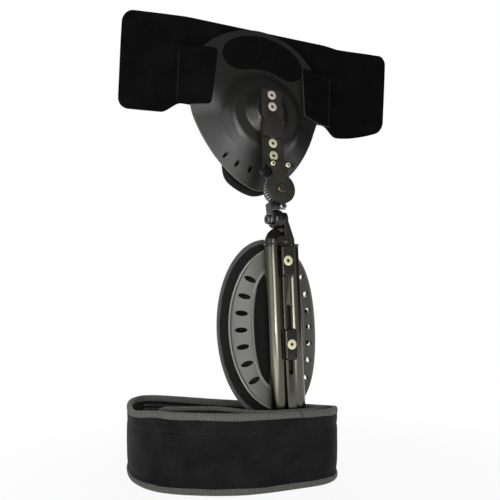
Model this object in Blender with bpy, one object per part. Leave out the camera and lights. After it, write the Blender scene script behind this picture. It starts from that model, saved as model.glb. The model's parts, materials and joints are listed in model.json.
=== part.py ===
"""Hinged hip brace: pelvic shell with wings, range-of-motion hinge, telescoping upright, thigh cuff.

Metres, +Z up. The outer side of the brace faces -Y and the wearer is at +Y. The origin lies on the floor
under the upright, where the thigh band stands.
"""
import bmesh
import bpy
from math import asin, atan2, ceil, cos, hypot, pi, radians, sin, sqrt, tan
from mathutils import Vector

# Clearances
FIT = 0.0003            # gap between pieces that seat on each other
RUN = 0.0004            # gap between pieces that slide or turn on each other

# Pose at rest
LEAN = radians(5.0)             # upright leans towards the wearer
ABDUCTION = radians(8.0)        # pelvic half leans further at the clevis
FLEXION = radians(3.7)          # pelvic half is turned at the dial

# Upright: twin barrels with a slotted rib between them
FOOT_DEPTH = 0.0032             # the upright's foot stands this far down in the band
UPRIGHT_LENGTH = 0.173
BARREL_RADIUS = 0.0082
BARREL_SPACING = 0.0208
BARREL_BORE = 0.0050
RIB_WIDTH = 0.0100
RIB_FRONT = 0.0090              # front of the rib before the mid-plane
RIB_CHAMFER = 0.0012
SLOT_WIDTH = 0.0060
SLOT_TOP = 0.0234               # slot ends, from the middle of the upright
SLOT_BOTTOM = -0.0454
PLUG_PLATE = 0.0020
PLUG_STUB = 0.0080

# Sliding bar and rods inside the upright
BAR_WIDTH = 0.0080
BAR_THICKNESS = 0.0060
BAR_SETBACK = 0.0008            # middle of the bar before the mid-plane
BAR_LENGTH = 0.128
ROD_LENGTH = 0.118

# Clamps on the rib and their screws
CLAMP_WIDTH = 0.0132
CLAMP_HEIGHT = 0.0310
CLAMP_THICKNESS = 0.0036
CLAMP_CORNER = 0.0030
CLAMP_BEVEL = 0.0011
UPPER_CLAMP_Z = 0.0670          # from the middle of the upright
LOWER_CLAMP_Z = -0.0158
HEAD_RADIUS = 0.0050            # countersunk heads of the large screws
HEAD_DEPTH = 0.0022
SHANK_RADIUS = 0.0024
SOCKET_RADIUS = 0.0019
SOCKET_DEPTH = 0.0016
NUT_RADIUS = 0.0046
NUT_HEIGHT = 0.0030

# Clevis cap on top of the sliding pieces
FLANGE_OVERHANG = 0.0005
FLANGE_THICKNESS = 0.0016
SCOOP_RADIUS = 0.0069
SCOOP_DEPTH = 0.0028
PIVOT_HEIGHT = 0.0230           # abduction axis above the top of the upright
CHEEK_RADIUS = 0.0075
CHEEK_THICKNESS = 0.0047
CHEEK_FOOT = 0.0080             # how far the gusset spreads past the cheek
DRUM_RADIUS = 0.0100
DRUM_WIDTH = 0.0100
DRUM_RIGHT = 0.0006            # right face of the drum
BOLT_RADIUS = 0.0030
BOLT_HEAD_RADIUS = 0.0048
BOLT_HEAD_HEIGHT = 0.0026
WASHER_RADIUS = 0.0056
WASHER_THICKNESS = 0.0008

# Hinge: lower arm, toothed ring, cover and upper arm, stacked from the arm plane outwards
DIAL_HEIGHT = 0.0300            # flexion axis above the abduction axis
DIAL_SETBACK = 0.0015           # arm plane behind the abduction axis
STRIP_THICKNESS = 0.0022
STRIP_HALF_WIDTH = 0.0050
NECK_RIGHT = 0.0072
NECK_TOP = 0.0172               # shoulder of the neck, above the abduction axis
DISC_RADIUS = 0.0145
DISC_THICKNESS = 0.0030
RING_RADIUS = 0.0163
RING_THICKNESS = 0.0048
TOOTH_COUNT = 36
TOOTH_DEPTH = 0.0014
RING_FLAT = 0.0126              # flat at the foot of the ring, below its middle
BUSH_RADIUS = 0.0050
HINGE_SHANK = 0.0031
COVER_RADIUS = 0.0157
COVER_THICKNESS = 0.0030
COVER_NECK = 0.0073             # half width
EAR_RADIUS = 0.0046
EAR_X = 0.0087
EAR_Z = 0.0252
EAR_SCREW_RADIUS = 0.0026
EAR_SHANK_RADIUS = 0.0015
STOP_X = 0.0027                 # stop screw on the neck
STOP_DROP = 0.0168              # below the dial
STOP_HEAD_RADIUS = 0.0036
STOP_HEAD_HEIGHT = 0.0042
STOP_SHANK_RADIUS = 0.0015
ARM_THICKNESS = 0.0040
ARM_HALF_WIDTH = 0.0117
ARM_FOOT_RADIUS = 0.0128
ARM_SCREW_Z = (0.0387, 0.0523)
PLATE_THICKNESS = 0.0030
PLATE_HALF_WIDTH = 0.0122
PLATE_BOTTOM = 0.0575
PLATE_TOP = 0.1112
PLATE_SAG = 0.0020              # depth of the arc along its lower edge
PLATE_CORNER = 0.0030
PLATE_NOTCH_Z = 0.0770
PLATE_NOTCH_RADIUS = 0.0026
PLATE_SCREW_Z = (0.0915, 0.1045)
LEVER_NOSE_ANGLE = radians(140.0)
LEVER_WIDTH = 0.0036            # half width at the pivot
LEVER_NOSE_HALF = 0.0013
LEVER_TAB_REACH = 0.0140
LEVER_TAB_HALF = 0.0024
LEVER_TAB_ANGLE = radians(220.0)

# Pelvic shell: egg outline on a stepped dome
EGG_BOTTOM = 0.0105             # heights above the dial
EGG_MIDDLE = 0.1220
EGG_TOP = 0.1870
EGG_HALF_WIDTH = 0.0820
EGG_LOWER_POWER = 1.66
EGG_UPPER_POWER = 1.90
SHELL_WALL = 0.0030
DOME_Z = 0.0900                 # middle of the round steps
INNER_STEP = (0.0160, 0.0255)   # radius where a step starts and ends
OUTER_STEP = (0.0390, 0.0485)
INNER_DROP = 0.0040
SLOPE_DROP = 0.0027
OUTER_DROP = 0.0050
RIM_DEPTH = 0.0355              # rim behind the arm plane, below the fold height
RIM_FOLD_Z = 0.0860
RIM_SLOPE = 0.207               # the rim comes forward above the fold
VENT_COUNT = 7
VENT_STEP = radians(14.0)
VENT_RADIUS = 0.0610
VENT_LENGTH = 0.0078
VENT_WIDTH = 0.0042
PATCH_INNER = 0.0520            # hook patch, radii about the middle of the dome
PATCH_EDGE = 0.0075             # kept free inside the rim
PATCH_THICKNESS = 0.0012
PATCH_SPREAD = radians(43.0)

# Pelvic liner, wings and wing tabs
LINER_MARGIN = 0.0030           # liner past the shell's rim, at its foot
LINER_HALF_WIDTH = 0.0390
LINER_SQUARENESS = 14           # how tightly its corners turn
LINER_THICKNESS = 0.0100
LINER_DISH = 0.0030             # how much thinner the liner is in its middle
WING_THICKNESS = 0.0050
WING_TOP = 0.1880
WING_STEP_Z = 0.0990            # lower edge beside the shell
WING_LOBE_Z = 0.0885            # lower edge of the outer lobes
WING_LEFT = -0.1505
WING_RIGHT = 0.1810
WING_RISE = 0.0100              # right wing's top end stands higher
WING_CORNER = 0.0110
WING_LOBE_X = 0.1040            # where the lobes start
WING_STEP_X = 0.0870
WING_STEP_SHIFT = 0.0055        # how much further out the right wing steps down
WING_FOLD_X = 0.0850            # fold line beside the shell
WING_SWEEP = 0.14               # slope of the wings behind the fold
TAB_THICKNESS = 0.0030
TAB_OUTER = 0.0960              # sewn edge, from the middle
TAB_INNER = 0.0520              # free edge
TAB_BOTTOM = 0.0965
TAB_TOP = 0.1530
TAB_CORNER = 0.0040
TAB_LIFT = 0.0008               # gap under the tabs, more than the shell's facets stand proud

# Thigh shell: oval with a window, bent round the thigh
THIGH_RADIUS = 0.0878
THIGH_HALF_HEIGHT = 0.0825
THIGH_HALF_WIDTH = 0.0540       # along the arc
WINDOW_HALF_HEIGHT = 0.0600
WINDOW_HALF_WIDTH = 0.0290
WINDOW_POWER = 2.6
THIGH_WALL = 0.0030
THIGH_LIP = 0.0010
HOLE_COUNT = 7                  # on each side
HOLE_STEP = 0.0168
HOLE_LENGTH = 0.0127
HOLE_WIDTH = 0.0054
HOLE_INSET = 0.0126             # middle of a hole inside the rim
FIXING_INSET = 0.0153           # screws that hold the upright to the shell, from its ends
FIXING_RADIUS = 0.0020
FIXING_HEAD_RADIUS = 0.0040
FIXING_HEAD_HEIGHT = 0.0014
FIXING_GRIP = 0.0045

# Thigh liner
PAD_TURN = radians(-6.5)        # liner sits turned round the thigh
PAD_THICKNESS = 0.0115
PAD_HALF_HEIGHT = 0.0860
PAD_HALF_WIDTH = 0.0530
PIPING_RADIUS = 0.0032
HOOK_THICKNESS = 0.0015
HOOK_HALF_HEIGHT = 0.0180
HOOK_ARC = (0.0340, 0.0460)     # arc from the middle, on each side

# Thigh band: walls and bindings
BAND_BOW = 0.0014               # front wall bulges this much before the upright
BAND_WALL = 0.0044
BAND_HEIGHT = 0.0715
BAND_RISE = 0.0068              # the near wall's rim stands this much higher
BAND_RISE_SPANS = (-1.6, 4.2, 4.9, 6.4)  # spans of the plan over which the rim climbs and falls
BINDING_HEIGHT = 0.0075
BINDING_WALL = 0.0058
BAND_POINTS_PER_SPAN = 4
STRAP_END_SPAN = (1.3, 5.6)     # inner strap end, in spans of the plan
STRAP_THICKNESS = 0.0028
STRAP_CORNER = 0.0160
STRAP_DROP = 0.0012             # its edge below the band's
STRAP_FREE_SPAN = (2.4, 3.7)    # spans over which it leaves the wall
STRAP_STAND = 0.0240            # how far it stands off the wall
STRAP_RETURN = 0.6              # share of that lost again by its end

# Worked out from the sizes above
HALF_SPACING = BARREL_SPACING / 2
HALF_UPRIGHT = UPRIGHT_LENGTH / 2
UPRIGHT_MID_HEIGHT = BAND_HEIGHT - FOOT_DEPTH + HALF_UPRIGHT * cos(LEAN)
FIXING_Z = (FIXING_INSET - HALF_UPRIGHT, HALF_UPRIGHT - FIXING_INSET)
CLAMP_BACK = RIB_FRONT + RUN
CLAMP_FRONT = CLAMP_BACK + CLAMP_THICKNESS
BAR_FRONT = BAR_SETBACK + BAR_THICKNESS / 2
SHELL_APEX = BARREL_RADIUS + FIT
THIGH_AXIS = SHELL_APEX + THIGH_RADIUS
DRUM_LEFT = DRUM_RIGHT - DRUM_WIDTH
STRIP_RIGHT = DRUM_LEFT - FIT
STRIP_LEFT = STRIP_RIGHT - STRIP_THICKNESS
CHEEK_LEFT = DRUM_RIGHT + RUN
CHEEK_RIGHT = CHEEK_LEFT + CHEEK_THICKNESS
DISC_FRONT = RUN + DISC_THICKNESS
RING_BACK = DISC_FRONT + FIT
RING_FRONT = RING_BACK + RING_THICKNESS
COVER_BACK = RING_FRONT + RUN
COVER_FRONT = COVER_BACK + COVER_THICKNESS
PLATE_BACK = FIT
PLATE_FRONT = PLATE_BACK + PLATE_THICKNESS
DOME_FRONT = ARM_THICKNESS + FIT
FOOT_FRONT = RIB_FRONT * cos(LEAN) + (HALF_UPRIGHT + FIT + PLUG_PLATE) * sin(LEAN)
BAND_FRONT = FOOT_FRONT + FIT + STRAP_THICKNESS + FIT + BINDING_WALL / 2

# Plan points of the band's middle line, from the middle of the upright; the origin lies under its front
BAND_PLAN = ((0.057, -0.004), (0.036, BAND_BOW - BAND_FRONT), (0.0, -BAND_FRONT),
             (-0.052, -0.0176), (-0.094, 0.003), (-0.123, 0.031), (-0.132, 0.068), (-0.124, 0.110),
             (-0.107, 0.142), (-0.082, 0.145), (-0.030, 0.090), (0.022, 0.0405), (0.051, 0.014))

SIDES = (("left", -1), ("right", 1))
LEVELS = ("lower", "upper")

COLOURS = {
    "black plastic": ((0.012, 0.012, 0.011), 0.38, 0.0),
    "charcoal plastic": ((0.060, 0.061, 0.054), 0.45, 0.0),
    "black anodised": ((0.020, 0.019, 0.016), 0.28, 0.6),
    "black steel": ((0.010, 0.010, 0.010), 0.30, 0.5),
    "grey steel": ((0.21, 0.20, 0.24), 0.35, 1.0),
    "bright steel": ((0.62, 0.60, 0.60), 0.25, 1.0),
    "yellow zinc": ((0.68, 0.62, 0.36), 0.30, 1.0),
    "bronze steel": ((0.15, 0.10, 0.05), 0.35, 1.0),
    "black fabric": ((0.006, 0.006, 0.006), 0.95, 0.0),
    "grey fabric": ((0.060, 0.060, 0.055), 0.90, 0.0),
}


def clear_scene():
    for thing in list(bpy.data.objects):
        bpy.data.objects.remove(thing, do_unlink=True)


def frame(name, parent, location, turn=(0.0, 0.0, 0.0)):
    """An empty that carries pieces and marks a joint axis."""
    empty = bpy.data.objects.new(name, None)
    empty.empty_display_size = 0.01
    empty.location = location
    empty.rotation_euler = turn
    empty.parent = parent
    bpy.context.collection.objects.link(empty)
    return empty


def material(name, colour):
    base, roughness, metallic = COLOURS[colour]
    finish = bpy.data.materials.new(name)
    finish.use_nodes = True
    shader = finish.node_tree.nodes["Principled BSDF"]
    shader.inputs["Base Color"].default_value = (*base, 1.0)
    shader.inputs["Roughness"].default_value = roughness
    shader.inputs["Metallic"].default_value = metallic
    return finish


def piece(name, body, parent, colour, crease=35.0):
    """Make a closed body one named object with its own material."""
    mesh = bpy.data.meshes.new(name)
    body.to_mesh(mesh)
    body.free()
    mesh.shade_smooth()
    mesh.set_sharp_from_angle(angle=radians(crease))
    made = bpy.data.objects.new(name, mesh)
    made.parent = parent
    made.data.materials.append(material(name, colour))
    bpy.context.collection.objects.link(made)
    return made


def combine(target, bodies, operation):
    """Cut bodies from a piece, or unite them with it, by Booleans with hidden helpers."""
    for number, body in enumerate(bodies):
        helper = piece(f"{target.name}_{operation.lower()}_{number}", body, target.parent, "grey steel")
        helper.hide_render = True
        helper.display_type = "WIRE"
        change = target.modifiers.new(helper.name, "BOOLEAN")
        change.operation = operation
        change.solver = "EXACT"
        change.object = helper
    return target


def cut(target, *bodies):
    return combine(target, bodies, "DIFFERENCE")


def unite(target, *bodies):
    return combine(target, bodies, "UNION")


def loft(rings, wrap=False):
    """A closed body over rings of equally many points; wrap joins the last ring to the first."""
    body = bmesh.new()
    rows = [[body.verts.new(point) for point in ring] for ring in rings]
    count = len(rows[0])
    for index in range(len(rows) if wrap else len(rows) - 1):
        here, there = rows[index], rows[(index + 1) % len(rows)]
        for side in range(count):
            after = (side + 1) % count
            body.faces.new((here[side], here[after], there[after], there[side]))
    if not wrap:
        body.faces.new(rows[0])
        body.faces.new(rows[-1])
    bmesh.ops.remove_doubles(body, verts=body.verts, dist=1e-7)
    bmesh.ops.recalc_face_normals(body, faces=body.faces)
    return body


def prism(outline, start, end, axis="y"):
    """Extrude an outline along an axis: (x, z) along y, (y, z) along x, (x, y) along z."""
    place = {"x": lambda a, b, d: (d, a, b), "y": lambda a, b, d: (a, d, b), "z": lambda a, b, d: (a, b, d)}
    return loft([[place[axis](a, b, depth) for a, b in outline] for depth in (start, end)])


def arc(centre, radius, start, end, steps):
    """Points on an arc, both ends included."""
    angles = [start + (end - start) * step / steps for step in range(steps + 1)]
    return [(centre[0] + radius * cos(angle), centre[1] + radius * sin(angle)) for angle in angles]


def circle(centre, radius, steps=24):
    return arc(centre, radius, 0.0, 2 * pi * (steps - 1) / steps, steps - 1)


def rounded(corners, radius, steps=4):
    """A polygon with every corner rounded by up to the radius."""
    outline = []
    for index, corner in enumerate(corners):
        here = Vector(corner)
        before = (Vector(corners[index - 1]) - here)
        after = (Vector(corners[(index + 1) % len(corners)]) - here)
        half = before.angle(after) / 2
        reach = min(radius / tan(half), 0.49 * before.length, 0.49 * after.length)
        middle = here + (before.normalized() + after.normalized()).normalized() * (reach / cos(half))
        first = here + before.normalized() * reach - middle
        last = here + after.normalized() * reach - middle
        turn = first.angle_signed(last)
        for step in range(steps + 1):
            angle = -turn * step / steps
            outline.append((middle.x + first.x * cos(angle) - first.y * sin(angle),
                            middle.y + first.x * sin(angle) + first.y * cos(angle)))
    return outline


def obround(centre, length, width, turn=0.0, steps=6):
    """A slot outline, longest along the direction given by turn."""
    half = (length - width) / 2
    ends = []
    for side in (0.0, pi):
        middle = (centre[0] + half * cos(turn + side), centre[1] + half * sin(turn + side))
        ends += arc(middle, width / 2, turn + side - pi / 2, turn + side + pi / 2, steps)
    return ends


def turned(profile, place, steps=16):
    """Spin (radius, height) pairs round an axis; place maps (a, b, height) to a point."""
    angles = [2 * pi * (step + 0.5) / steps for step in range(steps)]
    rings = [[place(radius * cos(angle), radius * sin(angle), height) for angle in angles]
             for radius, height in profile]
    return loft(rings, wrap=profile[0][0] > 0)


def outwards(x, z):
    """Axis towards -Y through (x, z): height counts outwards from the arm plane or mid-plane."""
    return lambda a, b, height: (x + a, -height, z + b)


def sideways(y, z):
    """Axis towards +X through (y, z)."""
    return lambda a, b, height: (height, y + a, z + b)


def upwards(x, y):
    return lambda a, b, height: (x + a, y + b, height)


def tube(inner, outer, bottom, top):
    return [(inner, bottom), (outer, bottom), (outer, top), (inner, top)]


def nut(shank, bottom, top):
    """Hexagon nut whose flats of the bore clear the shank."""
    return tube((shank + FIT) / cos(pi / 6), NUT_RADIUS, bottom, top)


def rod(radius, bottom, top):
    return [(0, bottom), (radius, bottom), (radius, top), (0, top)]


def countersunk(face, head, depth, shank, tip, grow=0.0):
    """Screw profile from its tip to a flush head with a round socket; grow makes its cutter."""
    profile = [(0, tip), (shank + grow, tip), (shank + grow, face - depth - grow),
               (head + grow, face - depth / 3 - grow), (head + grow, face + grow * 4)]
    if grow:
        return profile + [(0, face + grow * 4)]
    return profile + [(SOCKET_RADIUS, face), (SOCKET_RADIUS, face - SOCKET_DEPTH), (0, face - SOCKET_DEPTH)]


def superellipse(angle, half_width, half_height, power):
    """Point on a superellipse in the given direction from its middle."""
    across, up = abs(cos(angle)) / half_width, abs(sin(angle)) / half_height
    reach = (across ** power + up ** power) ** (-1 / power)
    return reach * cos(angle), reach * sin(angle)


def smooth(low, high, value):
    share = min(max((value - low) / (high - low), 0.0), 1.0)
    return share * share * (3 - 2 * share)


# Upright and what slides in it

def upright_outline(grow=0.0, steps=16):
    """Cross-section of the upright: two barrels, the rib in front and a flat back."""
    radius = BARREL_RADIUS + grow
    half_rib = RIB_WIDTH / 2 + grow
    front = -RIB_FRONT - grow
    meet = atan2(-sqrt(radius ** 2 - (half_rib - HALF_SPACING) ** 2), half_rib - HALF_SPACING)
    right = arc((HALF_SPACING, 0), radius, meet, pi / 2, steps)
    left = [(-x, y) for x, y in reversed(right)]
    nose = [(-half_rib, front + RIB_CHAMFER), (-half_rib + RIB_CHAMFER, front),
            (half_rib - RIB_CHAMFER, front), (half_rib, front + RIB_CHAMFER)]
    return right + left + nose


def box_outline(half_width, back, front):
    return [(-half_width, -front), (half_width, -front), (half_width, back), (-half_width, back)]


def build_upright(thigh):
    upright = piece("thigh_upright", prism(upright_outline(), -HALF_UPRIGHT, HALF_UPRIGHT, "z"),
                    thigh, "black anodised")
    past = HALF_UPRIGHT + FIT
    bores = [turned(rod(BARREL_BORE, -past, past), upwards(side * HALF_SPACING, 0)) for side in (-1, 1)]
    cavity = prism(box_outline(BAR_WIDTH / 2 + RUN, BAR_THICKNESS - BAR_FRONT + RUN, BAR_FRONT + RUN),
                   -past, past, "z")
    slot_middle = (SLOT_TOP + SLOT_BOTTOM) / 2
    slot = prism(obround((0, slot_middle), SLOT_TOP - SLOT_BOTTOM, SLOT_WIDTH, pi / 2),
                 -RIB_FRONT - RUN, -BAR_FRONT)
    screw_way = turned(rod(SHANK_RADIUS + FIT, BAR_FRONT, CLAMP_FRONT), outwards(0, UPPER_CLAMP_Z))
    fixings = [turned(rod(FIXING_RADIUS + FIT, -SHELL_APEX, FIXING_GRIP - BARREL_RADIUS + FIT),
                      outwards(0, z), 12) for z in FIXING_Z]
    cut(upright, *bores, cavity, slot, screw_way, *fixings)

    plug_top = -HALF_UPRIGHT - FIT
    plug = piece("upright_end_plug", prism(upright_outline(), plug_top - PLUG_PLATE, plug_top, "z"),
                 thigh, "black plastic")
    unite(plug, *[turned(rod(BARREL_BORE - FIT, plug_top - PLUG_PLATE / 2, plug_top + PLUG_STUB),
                         upwards(side * HALF_SPACING, 0)) for side in (-1, 1)])


def clamp(name, parent, z, tip):
    """A clamp block with a bevelled front, and the screw through it."""
    half_w, half_h = CLAMP_WIDTH / 2, CLAMP_HEIGHT / 2

    def ring(inset, depth):
        corners = [(-half_w + inset, z - half_h + inset), (half_w - inset, z - half_h + inset),
                   (half_w - inset, z + half_h - inset), (-half_w + inset, z + half_h - inset)]
        return [(x, -depth, up) for x, up in rounded(corners, CLAMP_CORNER - inset)]

    block = piece(name, loft([ring(0, CLAMP_BACK), ring(0, CLAMP_FRONT - CLAMP_BEVEL),
                              ring(CLAMP_BEVEL, CLAMP_FRONT)]), parent, "black anodised")
    cut(block, turned(countersunk(CLAMP_FRONT, HEAD_RADIUS, HEAD_DEPTH, SHANK_RADIUS,
                                  CLAMP_BACK - RUN, FIT), outwards(0, z)))
    piece(f"{name}_screw", turned(countersunk(CLAMP_FRONT, HEAD_RADIUS, HEAD_DEPTH, SHANK_RADIUS, tip),
                                  outwards(0, z)), parent, "yellow zinc")


def build_slider(slide):
    """Pieces that move with the cap; the frame's origin is at the top of the upright."""
    lower_z = LOWER_CLAMP_Z - HALF_UPRIGHT
    for name, side in SIDES:
        piece(f"{name}_guide_rod", turned(rod(BARREL_BORE - RUN, -ROD_LENGTH, 0),
                                          upwards(side * HALF_SPACING, 0)), slide, "bright steel")
    bar = piece("slide_bar", prism(box_outline(BAR_WIDTH / 2, BAR_THICKNESS - BAR_FRONT, BAR_FRONT),
                                   -BAR_LENGTH, 0, "z"), slide, "grey steel")
    cut(bar, turned(rod(SHANK_RADIUS + FIT, -BAR_THICKNESS, BAR_FRONT + RUN), outwards(0, lower_z)))
    clamp("lower_clamp", slide, lower_z, BAR_FRONT - BAR_THICKNESS + FIT)

    flange_bottom = FIT
    flange_top = flange_bottom + FLANGE_THICKNESS
    dome_top = PIVOT_HEIGHT - DRUM_RADIUS - RUN
    half_width = HALF_SPACING + BARREL_RADIUS
    rings = []
    for step in range(7):
        angle = step / 6 * pi / 2
        rings.append([(half_width * cos(angle) * x, BARREL_RADIUS * cos(angle) * y,
                       flange_top - FIT + (dome_top - flange_top + FIT) * sin(angle))
                      for x, y in circle((0, 0), 1.0, 32)])
    cap = piece("clevis_cap", prism(upright_outline(FLANGE_OVERHANG), flange_bottom, flange_top, "z"),
                slide, "black steel")

    def tombstone(x, rise):
        """Section of the cheek and its gusset across X."""
        radius = CHEEK_RADIUS * (0.55 + 0.45 * rise)
        middle = flange_top + (PIVOT_HEIGHT - flange_top) * rise
        top = arc((0, middle), radius, 0, pi, 10)
        return [(x, y, z) for y, z in [(-radius, flange_top - FIT), (radius, flange_top - FIT)] + top]

    cheek = loft([tombstone(CHEEK_LEFT, 1.0), tombstone(CHEEK_RIGHT, 1.0),
                  tombstone(CHEEK_RIGHT + CHEEK_FOOT, 0.1)])
    unite(cap, loft(rings), cheek)
    bolt_way = turned(rod(BOLT_RADIUS + FIT, CHEEK_LEFT - FIT, CHEEK_RIGHT + CHEEK_FOOT),
                      sideways(0, PIVOT_HEIGHT))
    scoop = turned(rod(SCOOP_RADIUS, BARREL_RADIUS - SCOOP_DEPTH, RIB_FRONT * 2), outwards(0, flange_top))
    cut(cap, bolt_way, scoop)

    washer_right = STRIP_LEFT - FIT
    washer_left = washer_right - WASHER_THICKNESS
    head_right = washer_left - FIT
    piece("pivot_washer", turned(tube(BOLT_RADIUS + FIT, WASHER_RADIUS, washer_left, washer_right),
                                 sideways(0, PIVOT_HEIGHT)), slide, "bright steel")
    head_left = head_right - BOLT_HEAD_HEIGHT
    bolt = [(0, head_left + SOCKET_DEPTH), (SOCKET_RADIUS, head_left + SOCKET_DEPTH),
            (SOCKET_RADIUS, head_left), (BOLT_HEAD_RADIUS * 0.8, head_left),
            (BOLT_HEAD_RADIUS, head_left + BOLT_HEAD_HEIGHT * 0.35), (BOLT_HEAD_RADIUS, head_right),
            (BOLT_RADIUS, head_right), (BOLT_RADIUS, CHEEK_RIGHT), (0, CHEEK_RIGHT)]
    piece("abduction_bolt", turned(bolt, sideways(0, PIVOT_HEIGHT)), slide, "bright steel")


# Hinge

def build_lower_arm(abduction):
    """Steel strip on the abduction axis, bent into the disc behind the toothed ring."""
    disc_back_y = DIAL_SETBACK - RUN
    disc_front_y = DIAL_SETBACK - DISC_FRONT
    neck_bottom = DRUM_RADIUS + RUN
    right_angle = asin(NECK_RIGHT / DISC_RADIUS) - pi / 2
    left_angle = pi + asin((DIAL_HEIGHT - NECK_TOP) / DISC_RADIUS)
    outline = ([(STRIP_LEFT, neck_bottom), (NECK_RIGHT, neck_bottom)]
               + arc((0, DIAL_HEIGHT), DISC_RADIUS, right_angle, left_angle, 26) + [(STRIP_LEFT, NECK_TOP)])
    arm = piece("lower_arm", prism(outline, disc_front_y, disc_back_y), abduction, "grey steel")
    strip = arc((0, 0), STRIP_HALF_WIDTH, pi, 2 * pi, 12)
    strip += [(STRIP_HALF_WIDTH, NECK_TOP - FIT), (-STRIP_HALF_WIDTH, NECK_TOP - FIT)]
    unite(arm, prism(strip, STRIP_LEFT - FIT / 2, STRIP_RIGHT, "x"))
    stop_z = DIAL_HEIGHT - STOP_DROP
    in_plane = DIAL_SETBACK

    def from_plane(x, z):
        return lambda a, b, height: (x + a, in_plane - height, z + b)

    cut(arm, turned(rod(BOLT_RADIUS + RUN, STRIP_LEFT - RUN, STRIP_RIGHT + RUN), sideways(0, 0)),
        turned(rod(BUSH_RADIUS + FIT, -FIT, RING_BACK), from_plane(0, DIAL_HEIGHT)),
        turned(rod(STOP_SHANK_RADIUS + FIT, -FIT, RING_BACK), from_plane(STOP_X, stop_z), 12))

    crown = DRUM_RADIUS - CHEEK_RADIUS
    barrel = [(DRUM_RADIUS - crown * (step / 3 - 1) ** 2, DRUM_LEFT + DRUM_WIDTH * step / 6)
              for step in range(7)]
    drum = [(BOLT_RADIUS + RUN, DRUM_LEFT)] + barrel + [(BOLT_RADIUS + RUN, DRUM_RIGHT)]
    piece("pivot_drum", turned(drum, sideways(0, 0), 24), abduction, "black steel")

    stop_back = DISC_FRONT + FIT
    stop_top = stop_back + STOP_HEAD_HEIGHT
    stop = [(0, RUN), (STOP_SHANK_RADIUS, RUN), (STOP_SHANK_RADIUS, stop_back), (STOP_HEAD_RADIUS, stop_back),
            (STOP_HEAD_RADIUS, stop_top), (SOCKET_RADIUS, stop_top),
            (SOCKET_RADIUS, stop_top - SOCKET_DEPTH), (0, stop_top - SOCKET_DEPTH)]
    piece("stop_screw", turned(stop, from_plane(STOP_X, stop_z)), abduction, "bright steel")

    teeth = []
    pitch = 2 * pi / TOOTH_COUNT
    for tooth in range(TOOTH_COUNT):
        for share, radius in ((-0.34, RING_RADIUS - TOOTH_DEPTH), (-0.16, RING_RADIUS), (0.16, RING_RADIUS),
                              (0.34, RING_RADIUS - TOOTH_DEPTH)):
            angle = (tooth + share) * pitch
            if radius * sin(angle) > -RING_FLAT:
                teeth.append((radius * cos(angle), DIAL_HEIGHT + radius * sin(angle)))
    ring = piece("toothed_ring", prism(teeth, in_plane - RING_FRONT, in_plane - RING_BACK), abduction,
                 "bright steel", 20.0)
    cut(ring, turned(rod(BUSH_RADIUS + FIT, 0, COVER_FRONT), from_plane(0, DIAL_HEIGHT)))
    piece("hinge_bush", turned(tube(HINGE_SHANK + RUN, BUSH_RADIUS, RUN, RING_FRONT),
                               from_plane(0, DIAL_HEIGHT)), abduction, "bronze steel")


def cover_outline():
    """Round cover with a neck and two ears."""
    neck_angle = asin(COVER_NECK / COVER_RADIUS)
    disc = arc((0, 0), COVER_RADIUS, pi / 2 - neck_angle, -3 * pi / 2 + neck_angle, 36)
    ear_start = pi + asin((EAR_X - COVER_NECK) / EAR_RADIUS) + pi / 3
    left = arc((-EAR_X, EAR_Z), EAR_RADIUS, ear_start, pi / 2, 8)
    return disc + left + [(-x, z) for x, z in reversed(left)]


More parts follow.
